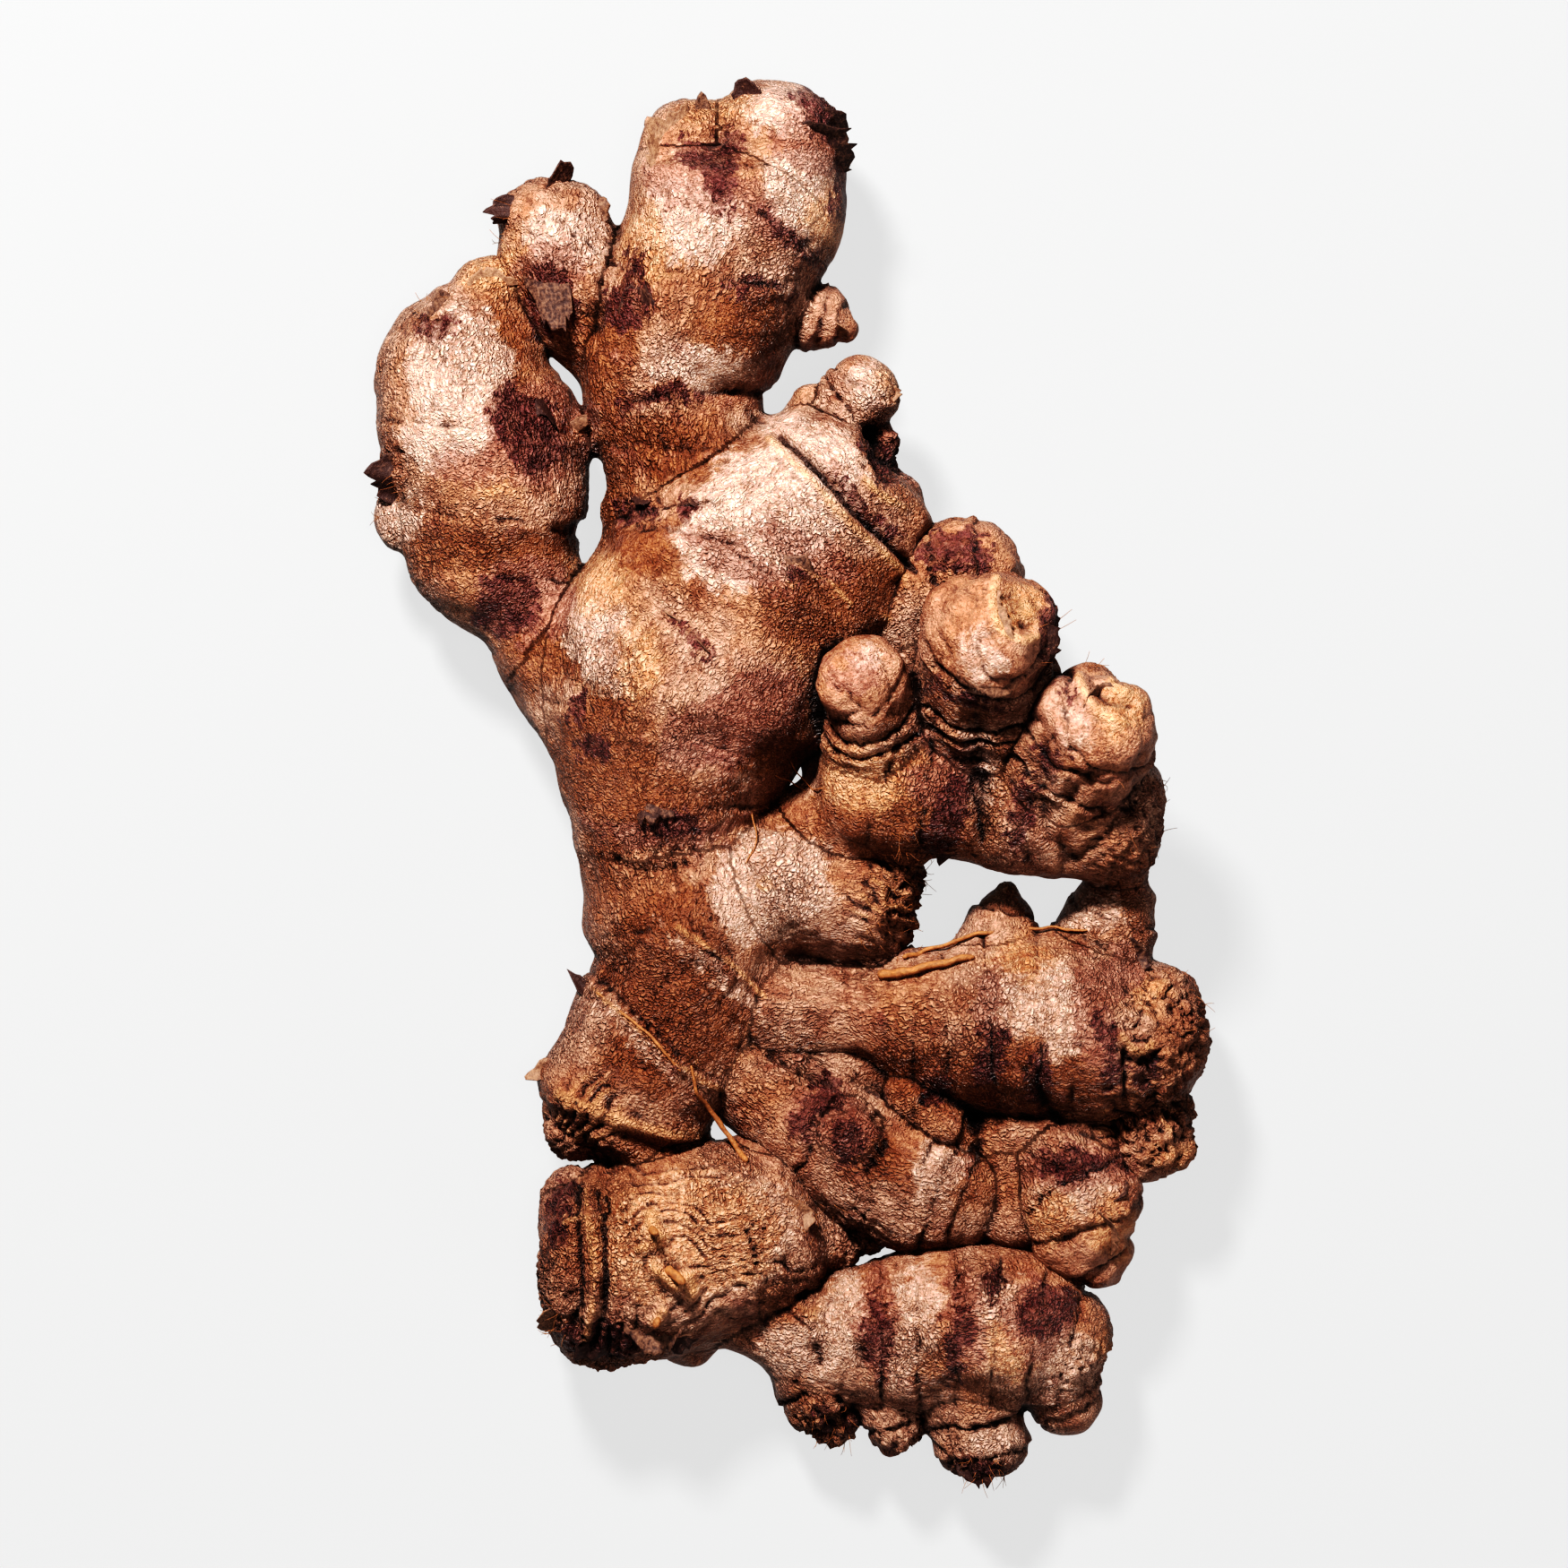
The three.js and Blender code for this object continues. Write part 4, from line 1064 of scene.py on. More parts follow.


# %% [markdown]
# ## Ginger skin
# The skin is a thin cork-like layer over wet flesh: leathery, satin, with a faint waxy gloss where it is
# pale and smooth. Its colour is never even. It changes from orange-brown to pinkish tan over a
# centimetre or two, the creases of the net of wrinkles are darkened with painted shade, and patches of
# scale leaf lie over it.

# %% Ginger skin material
MATH = {kind: {"operation": kind} for kind in ("ADD", "SUBTRACT", "MULTIPLY", "MULTIPLY_ADD", "SCALE")}
SMOOTH = {"interpolation_type": "SMOOTHSTEP"}
MIX = {"data_type": "RGBA"}
DARKEN = {"data_type": "RGBA", "blend_type": "MULTIPLY"}
MARKS = (
    "relief", "fibrous", "rough_place", "tender", "zone", "ridge", "ring_line", "scale_band", "upward",
    "hollow_small", "hollow_big", *PATCHES,
)
# noises: where they are measured, then scale per mm, detail, roughness and distortion
NOISES = {
    "grit": ("place", 2.6, 4.0, 0.6, 0.0),  # grains of the cork
    "streaks": ("streaked", 1.0, 4.0, 0.65, 0.0),  # fibres, four millimetres long
    "broad": ("place", 0.06, 4.0, 0.55, 0.4),  # orange-brown to pinkish tan over a centimetre or two
    "middle": ("place", 0.22, 5.0, 0.62, 0.5),
    "fine": ("place", 1.5, 5.0, 0.7, 0.0),
    "crumbs": ("place", 0.9, 6.0, 0.75, 0.0),  # teeth of a torn border
    "wear": ("place", 0.5, 5.0, 0.7, 0.0),
}
# smooth steps: what is stepped, from, to, and the values at the two ends
STEPS = {
    "two_grounds": ("broad", 0.38, 0.62, 0.0, 1.0),
    "brown_clouds": ("middle", 0.44, 0.66, 0.0, 0.6),
    "light_fibres": ("streaks", 0.5, 0.72, 0.0, 0.2),
    "mottled": ("fine", 0.32, 0.68, 0.0, 1.0),
    "worn": ("wear", 0.36, 0.58, 0.6, 1.0),
    "swollen": ("tender", 0.0, 1.0, 0.0, 1.0),
    "uneven": ("middle", 0.36, 0.6, 0.75, 0.15),
    "ridge_highlight": ("ridge", 0.3, 0.9, 0.0, 0.6),
    "wrinkled": ("zone", 0.0, 1.0, 0.5, 1.0),
    "old_skin": ("tender", 0.0, 1.0, 1.0, 0.3),
    # painted shade in the creases of the wrinkles and in the low pits of the grit
    "relief_crease_shade": ("relief", 0.05, 0.6, 0.35, 0.0),
    "grit_pit_shade": ("grit", 0.34, 0.5, 0.45, 0.0),
    # painted shade in the hollows, with some dirt
    "small_hollow_shade": ("hollow_small", 0.0, 0.3, 0.0, 0.85),
    "big_hollow_shade": ("hollow_big", 0.1, 1.2, 0.0, 0.95),
    # painted shade: the skin is darker where it faces less upward, on its sides and undersides
    "painted_side_shade": ("upward", 0.8, 0.1, 0.0, 0.42),
}
GROUND = ("#B68568", "#CAA38E")
OVER_GROUND = (("brown_clouds", "#965D44"), ("light_fibres", "#DEAC8C"))
# pale ridge and fold tops are partly a painted highlight
RIDGE_HIGHLIGHT, LOW_Y_BROWN = "#E0AF84", "#B4947E"
# layers of skin, lowest first: softness of the border (mm), share of the tearing, opacity, two colours
LAYERS = {
    "rust": (1.5, 0.7, 0.8, "#733F24", "#99623E"),
    # pale patches: rubbed papery skin and, partly, a painted highlight
    "pale_and_highlight": (0.8, 0.6, 0.85, "#D2A890", "#F0D4C4"),
    "young": (None, None, None, "#92583E", "#C6947A"),
    "amber": (1.2, 0.4, 0.7, "#C98458", "#E6BC96"),
    "band": (None, None, 0.7, "#7C453C", "#BC8C7C"),
    "mauve": (0.4, 0.5, 0.62, "#7C453C", "#BC8C7C"),
    "sheath": (0.3, 0.5, 1.0, "#42201C", "#7C4A46"),
}
# painted shade that darkens the skin, in this order, and the colour that it is multiplied by; in the hollows
# it also stands for some dirt
SHADES = {
    "crease_shade": "#86503A",
    "relief_crease_shade": "#86503A",
    "grit_pit_shade": "#7E442C",
    "small_hollow_shade": "#43190C",
    "big_hollow_shade": "#2C0F07",
    "painted_side_shade": "#5E2C18",
    "ring_shade": "#3A160D",
}
RING_SHADE = 0.6
BAND_EDGE = (0.1, 0.7)  # how much band there is where its colour starts and is full
CREASE = (0.0, 0.55, 0.5, 0.0)  # height in the net from and to, and the shade at each
TEARING = (7.0, 4.0)  # how far the fibres and the crumbs pull a torn border, mm
WOBBLE = (2.4, 2.4, 2.4)  # how far the pattern is pulled about, mm
WOBBLE_NOISE = {"Scale": 0.5, "Detail": 3.0}
NOISE_MIDDLE = 0.5
FIBRE_CELLS = (0.22, 1.5, 1.5)  # cells per mm along, across and up
PAD_CELLS = ((1.9, 1.15, 1.15), (0.42, 1.8, 1.8))  # of plain skin and of fibrous skin
PAD_EDGE = 0.3
LOW_Y_DARKENING = (44.0, -24.0, 0.0, 0.34)  # y where the darkening starts and is full, mm, and its strength
LOW_Y_DRIFT = 40.0  # mm
BUMP_SHARES = {"grit": 0.8, "streaks": 0.35}
BUMP_DEPTH = 0.55  # mm
ROUGHNESS = (0.15, 0.9, 0.32, 0.58)  # fine noise from and to, roughness at each
ROUGH_SHARE = 0.25
SKIN_IOR = 1.46


def ginger_skin_material():
    material, tree = new_material("ginger_skin")
    made = {name: add(tree, "ShaderNodeAttribute", {"attribute_name": name}).outputs["Fac"] for name in MARKS}
    object_place = add(tree, "ShaderNodeTexCoord").outputs["Object"]
    made["place"] = add(tree, "ShaderNodeVectorMath", MATH["SCALE"], _0=object_place, Scale=1 / MM).outputs[0]

    # fine wrinkles: a net of small pads, wider round the finger, and fibres along it
    grain_mm = add(tree, "ShaderNodeAttribute", {"attribute_name": "grain"}).outputs["Vector"]
    wobble = add(tree, "ShaderNodeTexNoise", None, Vector=made["place"], **WOBBLE_NOISE).outputs["Color"]
    centred = add(
        tree, "ShaderNodeVectorMath", MATH["SUBTRACT"], _0=wobble, _1=(NOISE_MIDDLE,) * 3
    ).outputs[0]
    pulled = add(tree, "ShaderNodeVectorMath", MATH["MULTIPLY_ADD"], _0=centred, _1=WOBBLE, _2=grain_mm)
    pads = []
    for cells in (*PAD_CELLS, FIBRE_CELLS):
        cell_place = add(tree, "ShaderNodeVectorMath", MATH["MULTIPLY"], _0=pulled.outputs[0], _1=cells)
        if cells == FIBRE_CELLS:
            made["streaked"] = cell_place.outputs[0]
            break
        border = {"feature": "DISTANCE_TO_EDGE"}
        away = add(tree, "ShaderNodeTexVoronoi", border, Vector=cell_place.outputs[0], Scale=1.0)
        pads.append(add(tree, "ShaderNodeMapRange", SMOOTH, _0=away.outputs["Distance"], _1=0.0, _2=PAD_EDGE))
    creases = add(
        tree, "ShaderNodeMix", {"data_type": "FLOAT"},
        _0=made["fibrous"], _2=pads[0].outputs[0], _3=pads[1].outputs[0],
    ).outputs[0]
    for name, (where, scale, detail, roughness, distortion) in NOISES.items():
        made[name] = add(
            tree, "ShaderNodeTexNoise", None,
            Vector=made[where], Scale=scale, Detail=detail, Roughness=roughness, Distortion=distortion,
        ).outputs["Fac"]
    for name, (source, *ends) in STEPS.items():
        low_in, high_in, low_out, high_out = ends
        made[name] = add(
            tree, "ShaderNodeMapRange", SMOOTH,
            _0=made[source], _1=low_in, _2=high_in, _3=low_out, _4=high_out,
        ).outputs[0]

    # ground colour
    dark, light = (linear(paint) for paint in GROUND)
    colour = add(tree, "ShaderNodeMix", MIX, _0=made["two_grounds"], _6=dark, _7=light).outputs[2]
    for name, paint in OVER_GROUND:
        colour = add(tree, "ShaderNodeMix", MIX, _0=made[name], _6=colour, _7=linear(paint)).outputs[2]

    # a torn border follows the fibres and crumbles
    tear = 0.0
    for name, reach in zip(("streaks", "crumbs"), TEARING):
        middled = add(tree, "ShaderNodeMath", MATH["SUBTRACT"], _0=made[name], _1=NOISE_MIDDLE).outputs[0]
        tear = add(tree, "ShaderNodeMath", MATH["MULTIPLY_ADD"], _0=middled, _1=reach, _2=tear).outputs[0]
    places = {
        "young": (made["swollen"], made["uneven"]),
        "band": (made["scale_band"], made["worn"]),
    }
    for name, (softness, share, opacity, dark, light) in LAYERS.items():
        if name in places:
            amount = add(tree, "ShaderNodeMath", MATH["MULTIPLY"], _0=places[name][0], _1=places[name][1])
            if name == "band":
                amount = add(
                    tree, "ShaderNodeMapRange", SMOOTH,
                    _0=amount.outputs[0], _1=BAND_EDGE[0], _2=BAND_EDGE[1], _4=opacity,
                )
        else:
            depth = add(tree, "ShaderNodeMath", MATH["MULTIPLY_ADD"], _0=tear, _1=share, _2=made[name])
            amount = add(
                tree, "ShaderNodeMapRange", SMOOTH, _0=depth.outputs[0], _1=-softness, _2=softness, _4=opacity
            )
        if name == "sheath":
            amount = add(tree, "ShaderNodeMath", MATH["MULTIPLY"], _0=amount.outputs[0], _1=made["worn"])
        paint = add(tree, "ShaderNodeMix", MIX, _0=made["mottled"], _6=linear(dark), _7=linear(light))
        colour = add(
            tree, "ShaderNodeMix", MIX, _0=amount.outputs[0], _6=colour, _7=paint.outputs[2]
        ).outputs[2]
    # pale on the tops of ridges and folds: a painted highlight, and on dry roots also their own colour
    colour = add(
        tree, "ShaderNodeMix", MIX, _0=made["ridge_highlight"], _6=colour, _7=linear(RIDGE_HIGHLIGHT)
    ).outputs[2]

    # the skin is darker and browner towards -y
    along = add(tree, "ShaderNodeSeparateXYZ", None, Vector=made["place"]).outputs["Y"]
    drifted = add(tree, "ShaderNodeMath", MATH["MULTIPLY_ADD"], _0=made["broad"], _1=LOW_Y_DRIFT, _2=along)
    first, full, least, most = LOW_Y_DARKENING
    toward_low_y = add(
        tree, "ShaderNodeMapRange", SMOOTH, _0=drifted.outputs[0], _1=first, _2=full, _3=least, _4=most
    )
    colour = add(tree, "ShaderNodeMix", DARKEN, _0=toward_low_y.outputs[0], _6=colour, _7=linear(LOW_Y_BROWN)).outputs[2]

    # painted shade: the creases, grooves, hollows and sides that turn down are darkened, the hollows also for
    # some dirt
    firm = add(tree, "ShaderNodeMath", MATH["MULTIPLY"], _0=made["wrinkled"], _1=made["old_skin"]).outputs[0]
    # painted shade in the creases of the net, where the skin is firm
    deep, flush, shaded, clear = CREASE
    low = add(
        tree, "ShaderNodeMapRange", SMOOTH, _0=creases, _1=deep, _2=flush, _3=shaded, _4=clear
    ).outputs[0]
    made["crease_shade"] = add(tree, "ShaderNodeMath", MATH["MULTIPLY"], _0=low, _1=firm).outputs[0]
    made["ring_shade"] = add(
        tree, "ShaderNodeMath", MATH["MULTIPLY"], _0=made["ring_line"], _1=RING_SHADE
    ).outputs[0]
    for name, shade in SHADES.items():
        colour = add(tree, "ShaderNodeMix", DARKEN, _0=made[name], _6=colour, _7=linear(shade)).outputs[2]

    # bump
    fine_height = add(tree, "ShaderNodeMath", MATH["MULTIPLY"], _0=creases, _1=firm).outputs[0]
    for name, share in BUMP_SHARES.items():
        fine_height = add(
            tree, "ShaderNodeMath", MATH["MULTIPLY_ADD"], _0=made[name], _1=share, _2=fine_height
        ).outputs[0]
    bump = add(tree, "ShaderNodeBump", None, Strength=1.0, Distance=BUMP_DEPTH * MM, Height=fine_height)
    coarse = add(
        tree, "ShaderNodeMath", MATH["MULTIPLY_ADD"], _0=made["rough_place"], _1=ROUGH_SHARE, _2=made["fine"]
    )
    smooth, rough, gloss, matt = ROUGHNESS
    rough = add(
        tree, "ShaderNodeMapRange", SMOOTH, _0=coarse.outputs[0], _1=smooth, _2=rough, _3=gloss, _4=matt
    )
    shader = add(
        tree, "ShaderNodeBsdfPrincipled", None,
        Base_Color=colour, Roughness=rough.outputs[0], Normal=bump.outputs[0], IOR=SKIN_IOR,
    )
    add(tree, "ShaderNodeOutputMaterial", None, Surface=shader.outputs[0])
    return material


skin.data.materials.append(ginger_skin_material())

# %% [markdown]
# ## Where the skin lies under a point of the plan
# Scale leaves and rootlets start on the skin. For each square millimetre of the plan, the highest point
# of the skin is noted, so that a piece can be placed by its place in plan alone.

# %% The top of the skin
CELL = 1.0  # mm
EDGE_ROOM, SPARE_CELLS = 5.0, 8  # round the plan: mm before it and cells after it

corner = skin_points[:, :2].min(0) - EDGE_ROOM
cells = ((skin_points[:, :2] - corner) / CELL).astype(int)
top_point = np.full(cells.max(0) + SPARE_CELLS, -1)
rising = np.argsort(skin_points[:, 2])
top_point[tuple(cells[rising].T)] = rising
filled = np.argwhere(top_point >= 0)


def skin_at(x, y):
    """The skin's highest point near a place in plan, and the direction it faces."""
    wanted = (np.array([x, y]) - MIDDLE - corner) / CELL
    cell = filled[((filled + 0.5 - wanted) ** 2).sum(1).argmin()]
    chosen = top_point[tuple(cell)]
    return skin_points[chosen], normals[chosen]


def unit(vector):
    return vector / max(np.linalg.norm(vector), TINY)


# %% [markdown]
# ## Scale leaves
# What is left of the leaves that once wrapped each lobe: stiff, papery, torn bits that stand off the skin
# where they are attached along one edge. Each is a small sheet, grown row by row from its attached edge,
# turning as it goes, with a torn free edge and a real thickness.

# %% Scale leaves
LEAF_STEP = 0.45  # mm
LEAF_THICKNESS = 0.16  # mm
LEAF_SUNK, LEAF_BACK = 0.35, 0.6  # how far the attached edge is in the skin and behind its line, mm
LEAF_REACH = 1.3  # makes up for what tearing takes off the length
LEAF_RIPPLE, RIPPLES = 0.25, 9  # mm, and radians across a leaf
LEAF_FLOOR = 0.2  # lowest place of a leaf, mm
LEAF_TONE = 0.55  # how much of its tone a leaf shows
TORN, TORN_DEPTH, TORN_SEED = 0.65, 0.4, 201  # mean length of the teeth and how it varies
TOOTH_ROW = 40.0  # length of a leaf's row of teeth in the noise
LEAF_APART = (9, 3.3)  # along and across the noise, from one leaf to the next
FEWEST_TEETH, TOOTH_POINTS = 3, 1.6
# attached edge in plan, direction it points (degrees from +X), length (mm), lean and curl (degrees), tone
# from 0, dark purple-brown, to 1, straw
LEAVES = [
    ([(-15.6, 88.4), (-11, 90), (-6.4, 91.2)], -82, 8.6, 8, 3, 0.12),
    ([(2.6, 93.6), (6.4, 91), (8.8, 86.5)], 15, 3.6, 38, -30, 0.25),
    ([(-8, 97.4), (-3.4, 98)], 100, 2.8, 25, 60, 0.1),
    ([(6, 96), (8.6, 92)], 20, 2.8, 25, -30, 0.2),
    ([(-19, 87), (-17.4, 92), (-13, 96)], 130, 3.6, 22, 24, 0.9),
    ([(-13, 96.4), (-10.4, 96)], 100, 2.6, 30, 30, 0.5),
    ([(-38.4, 84), (-40, 78.6)], 185, 4.2, 16, 30, 0.05),
    ([(-34, 85.4), (-30, 86)], 62, 4.0, 20, 55, 0.2),
    ([(-26.6, 84), (-25.2, 79.6)], 20, 2.4, 20, 20, 0.6),
    ([(-37.8, 72.6), (-34, 71), (-30.2, 71.6)], -80, 8.4, 7, 2, 0.35),
    ([(-56.4, 46.6), (-56.6, 40)], 175, 3.4, 26, 40, 0.1),
    ([(-45.6, 70.6), (-42, 72.4), (-38, 70.6)], 92, 2.4, 16, 10, 1.0),
    ([(-51, 66), (-47.4, 69.6)], 130, 2.6, 20, 30, 0.5),
    ([(-30.6, 52), (-28.4, 50)], 40, 3.0, 34, 30, 0.8),
    ([(36, 14.4), (36.8, 19), (36, 24)], 8, 3.4, 2, -10, 0.15),
    ([(21, -9.4), (24.6, -10)], -100, 4.6, -14, -10, 0.0),
    ([(25, -10.2), (27, -10.4)], -70, 2.6, 0, -40, 0.1),
    ([(15, -8.6), (17.6, -9.4)], -35, 3.6, 0, -20, 0.05),
    ([(-29.4, -30), (-28.6, -27)], 135, 3.2, 30, 10, 0.05),
    ([(-34.8, -38), (-35.8, -42)], 190, 2.4, 26, 20, 0.9),
    ([(-30.4, -78.6), (-25, -80.6)], -105, 3.6, 0, -20, 0.1),
    ([(-17.6, -78.8), (-11.6, -78)], -80, 3.8, 0, -20, 0.1),
    ([(-23, -77), (-18, -78), (-14, -77.4)], -90, 3.4, 14, 10, 0.5),
    ([(-33.6, -73.6), (-33.4, -78)], 195, 3.2, 12, 20, 0.8),
    ([(41, -70.8), (44, -71)], 15, 3.0, 14, 10, 0.1),
    ([(23.4, -97), (27, -98.6), (31, -97.6)], -90, 2.8, -6, 20, 0.1),
    ([(4.6, -91.6), (8.6, -92)], -70, 2.4, -6, 10, 0.1),
    ([(12.4, -92.6), (16.4, -94)], -90, 2.4, -6, 10, 0.1),
    ([(-1, 32), (2, 30.6), (5, 28.4)], 55, 2.4, 20, -14, 0.5),
    ([(-22, -4), (-18.6, -3), (-15, -3.6)], -88, 3.6, 12, -6, 0.3),
    ([(7, 66), (8.4, 62.8)], -20, 2.8, 14, 10, 0.9),
    ([(44.4, -60), (46.8, -63.6), (46.6, -67)], 15, 1.8, 45, 30, 0.8),
    ([(29.4, 27.6), (30, 23.6), (31.6, 20)], 20, 2.0, 28, -20, 0.9),
    ([(23, 15.4), (28, 13), (33.6, 13.6)], -90, 1.8, 30, -20, 0.7),
    ([(-37.6, 55), (-34.6, 56.4), (-32.4, 54)], -75, 6.4, 8, 2, 0.1),
    ([(-17.8, 25), (-14.6, 23)], -60, 1.8, 24, 10, 0.6),
    ([(-13, 20.6), (-10.4, 18.6)], -60, 2.2, 20, 10, 0.5),
    ([(-28, 12.4), (-26.2, 9)], 20, 3.0, 20, -10, 0.3),
    ([(-22.6, 40), (-18.8, 39.6)], -90, 2.0, 40, 10, 0.1),
    ([(-14.6, 39.8), (-12.2, 39.4)], -85, 1.6, 40, 10, 0.3),
    ([(41, 10.6), (43.4, 13.4), (46, 13.6)], 80, 1.8, 40, -20, 0.5),
    ([(15.4, 53.6), (17, 57)], 10, 1.6, 30, 20, 0.9),
    ([(49, -22), (51.4, -26)], 20, 2.2, 20, 20, 0.3),
    ([(47, -59), (49, -55)], 10, 1.6, 30, 20, 0.3),
    ([(-24.6, 66), (-21, 67.4), (-18, 64.6)], 80, 5.0, 8, 2, 0.2),
    ([(0, -57.4), (2.6, -60.4), (3.4, -64)], 15, 2.4, 14, 10, 0.9),
]


def scale_leaf(number, edge, turn, length, lean, curl, tone):
    """A torn sheet that stands off the skin along one edge."""
    route = route_points(edge, LEAF_STEP)
    rows = max(4, int(length / LEAF_STEP))
    seats = [skin_at(x, y) for x, y in route]
    base = neighbour_line(np.array([seat for seat, _ in seats]))
    outward = neighbour_line(np.array([normal for _, normal in seats]))
    toward = np.array([math.cos(math.radians(turn)), math.sin(math.radians(turn)), 0])
    share = np.linspace(0, 1, len(route))
    along_row = share * TOOTH_ROW + LEAF_APART[0] * number
    across_row = np.full(len(route), LEAF_APART[1] * number)
    spots = np.stack([along_row, across_row, np.zeros(len(route))], 1)
    teeth = max(FEWEST_TEETH, len(route) / TOOTH_POINTS)
    torn = TORN + TORN_DEPTH * rough_noise(spots / (TOOTH_ROW / teeth), TORN_SEED, 3, 0.8)
    outline = 0.3 + 0.7 * np.sin(math.pi * np.clip(share, 0.04, 0.96)) ** 0.6
    reach = LEAF_REACH * length * torn * outline
    sheet = np.zeros((rows + 1, len(route), 3))
    for i in range(len(route)):
        up = unit(outward[i])
        along = unit(toward + 0.5 * unit(toward - toward @ up * up))
        place = base[i] - LEAF_SUNK * up - LEAF_BACK * along
        sheet[0, i] = place
        for k in range(rows):
            angle = math.radians(lean + curl * k / rows)
            place = place + reach[i] / rows * (along * math.cos(angle) + up * math.sin(angle))
            ripple = LEAF_RIPPLE * math.sin(RIPPLES * share[i] + number) * k / rows
            sheet[k + 1, i] = place + up * ripple
    flat_sheet = sheet.reshape(-1, 3)
    flat_sheet[:, 2] = np.maximum(flat_sheet[:, 2], LEAF_FLOOR)
    wide = len(route)
    faces = [
        (k * wide + i, k * wide + i + 1, (k + 1) * wide + i + 1, (k + 1) * wide + i)
        for k in range(rows) for i in range(wide - 1)
    ]
    piece = mesh_object(f"scale_leaf_{number:02d}", flat_sheet, faces)
    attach(piece, "root")
    store(piece.data, "tone", np.full(len(flat_sheet), LEAF_TONE * tone))
    store(piece.data, "along", np.repeat(np.linspace(0, 1, rows + 1), wide))
    body = piece.modifiers.new("thickness", "SOLIDIFY")
    body.thickness, body.offset = LEAF_THICKNESS * MM, 0
    piece.data.shade_smooth()
    return piece


def neighbour_line(values):
    """A row of values, each averaged with the ones beside it, three times."""
    for _ in range(3):
        padded = np.vstack([values[:1], values, values[-1:]])
        values = (padded[:-2] + 2 * padded[1:-1] + padded[2:]) / 4
    return values


leaves = [scale_leaf(number, *leaf) for number, leaf in enumerate(LEAVES, 1)]
print(len(leaves), "scale leaves")

# %% [markdown]
# ## Rootlets
# Thin dry roots, up to a millimetre and a half across, lie on the skin or bridge a gap between limbs.
# Each is a tube along a curve, tapered and a little knotty. Round the old ends stands a fringe of fine
# hairs, far too many to draw one by one, so they are sown from a fixed seed.

# %% Rootlets
TUBE_SIDES = 8
# route in plan with the height above the skin, and the radius at each end, mm
ROOTLETS = [
    (
        [(-13.4, -40, 0), (-11.8, -43.4, 0.3), (-10.4, -45.6, 0.9), (-7.2, -50.6, 1.2), (-5.6, -53.4, 0.4)],
        0.22, 0.5,
    ),
    ([(13, -27, 0.3), (17, -26.2, 0.6), (22, -25.2, 0.5), (26.4, -24.4, 0)], 0.72, 0.5),
    (
        [(16.4, -24.4, 0.6), (21, -21.8, 0.8), (27.9, -20.7, 0.5), (35.3, -20.2, 0.4), (43, -19.6, 0)],
        0.38, 0.2,
    ),
    ([(-4.6, -4.4, 0), (-3.8, -8, 0.5), (-5, -10.6, 0)], 0.14, 0.1),
    ([(-1.6, 1.2, 0.3), (1.6, -0.4, 0.4), (4.2, -2, 0)], 0.12, 0.1),
    ([(1, 3.2, 0.2), (3, 0.4, 0.5), (5, -1.2, 0)], 0.1, 0.1),
    ([(-27, -29.4, 0), (-20, -35.2, 0), (-14, -40.4, 0)], 0.2, 0.24),
    ([(-19, -62, 0), (-18.6, -63.4, 1.6)], 0.8, 0.5),
    ([(-16, -68.2, 0), (-14.4, -69.6, 1.4)], 0.8, 0.6),
    ([(-18, -75, 0), (-18.6, -76.6, 1.2)], 0.7, 0.5),
]
# x, y, radius of the fringe, direction, spread (degrees) and number of hairs, lengths in mm
FRINGES = [
    (17, -18, 6, -10, 80, 60), (-33, -77, 3, 200, 50, 20), (57, -30, 6, 10, 80, 14), (53, -4, 6, 0, 80, 18),
    (6, -92, 3, -90, 50, 16), (28, -99, 4, -90, 60, 22), (-50, 67, 3, 130, 50, 14), (40, 18, 4, 20, 40, 12),
    (-40, 80, 3, 180, 50, 14), (2, -62, 5, 20, 50, 24), (-56, 42, 4, 180, 50, 16), (16, -8, 3, -30, 60, 26),
]
HAIR_RADIUS = 0.05  # mm
HAIR_LENGTH = (0.6, 2.0)  # mm
HAIR_SEED, HAIR_POINTS, HAIR_SIDES = 5, 5, 4
HAIR_ROOT = -0.15  # where a hair starts, as a share of its length, so that it is rooted in the skin
HAIR_RISE, HAIR_BEND, HAIR_CURL = 0.8, 0.9, 0.3
THREAD_FLOOR = 0.05  # lowest place of a thread, mm
ROOTLET_STEP = 0.4  # mm
SEAT_SHARE, END_SHARE = 0.4, 0.4  # height of a rootlet's axis over the skin and its end, in radii
KNOT_SIZE, KNOT_SHARE, KNOT_SEED = 1.1, 0.18, 301
SWAY_SIZE, SWAY, SWAY_SEED = 2.2, 0.25, 311  # mm
ODD_DIRECTION = (0.3, 0.2, 0.93)  # no rootlet runs this way


def tube(path, radii, sides):
    """Points and faces of a closed tube along a path."""
    path, radii = np.asarray(path), np.asarray(radii)
    along = np.gradient(path, axis=0)
    side = np.cross(along, ODD_DIRECTION)
    side /= np.maximum(np.linalg.norm(side, axis=1), TINY)[:, None]
    up = np.cross(side, along)
    up /= np.maximum(np.linalg.norm(up, axis=1), TINY)[:, None]
    turns = np.arange(sides) * 2 * math.pi / sides
    ring = np.cos(turns)[None, :, None] * side[:, None] + np.sin(turns)[None, :, None] * up[:, None]
    out = (path[:, None] + radii[:, None, None] * ring).reshape(-1, 3)
    faces = [
        (k * sides + i, k * sides + (i + 1) % sides, (k + 1) * sides + (i + 1) % sides, (k + 1) * sides + i)
        for k in range(len(path) - 1) for i in range(sides)
    ]
    faces.append(tuple(range(sides))[::-1])
    faces.append(tuple((len(path) - 1) * sides + i for i in range(sides)))
    return out, faces


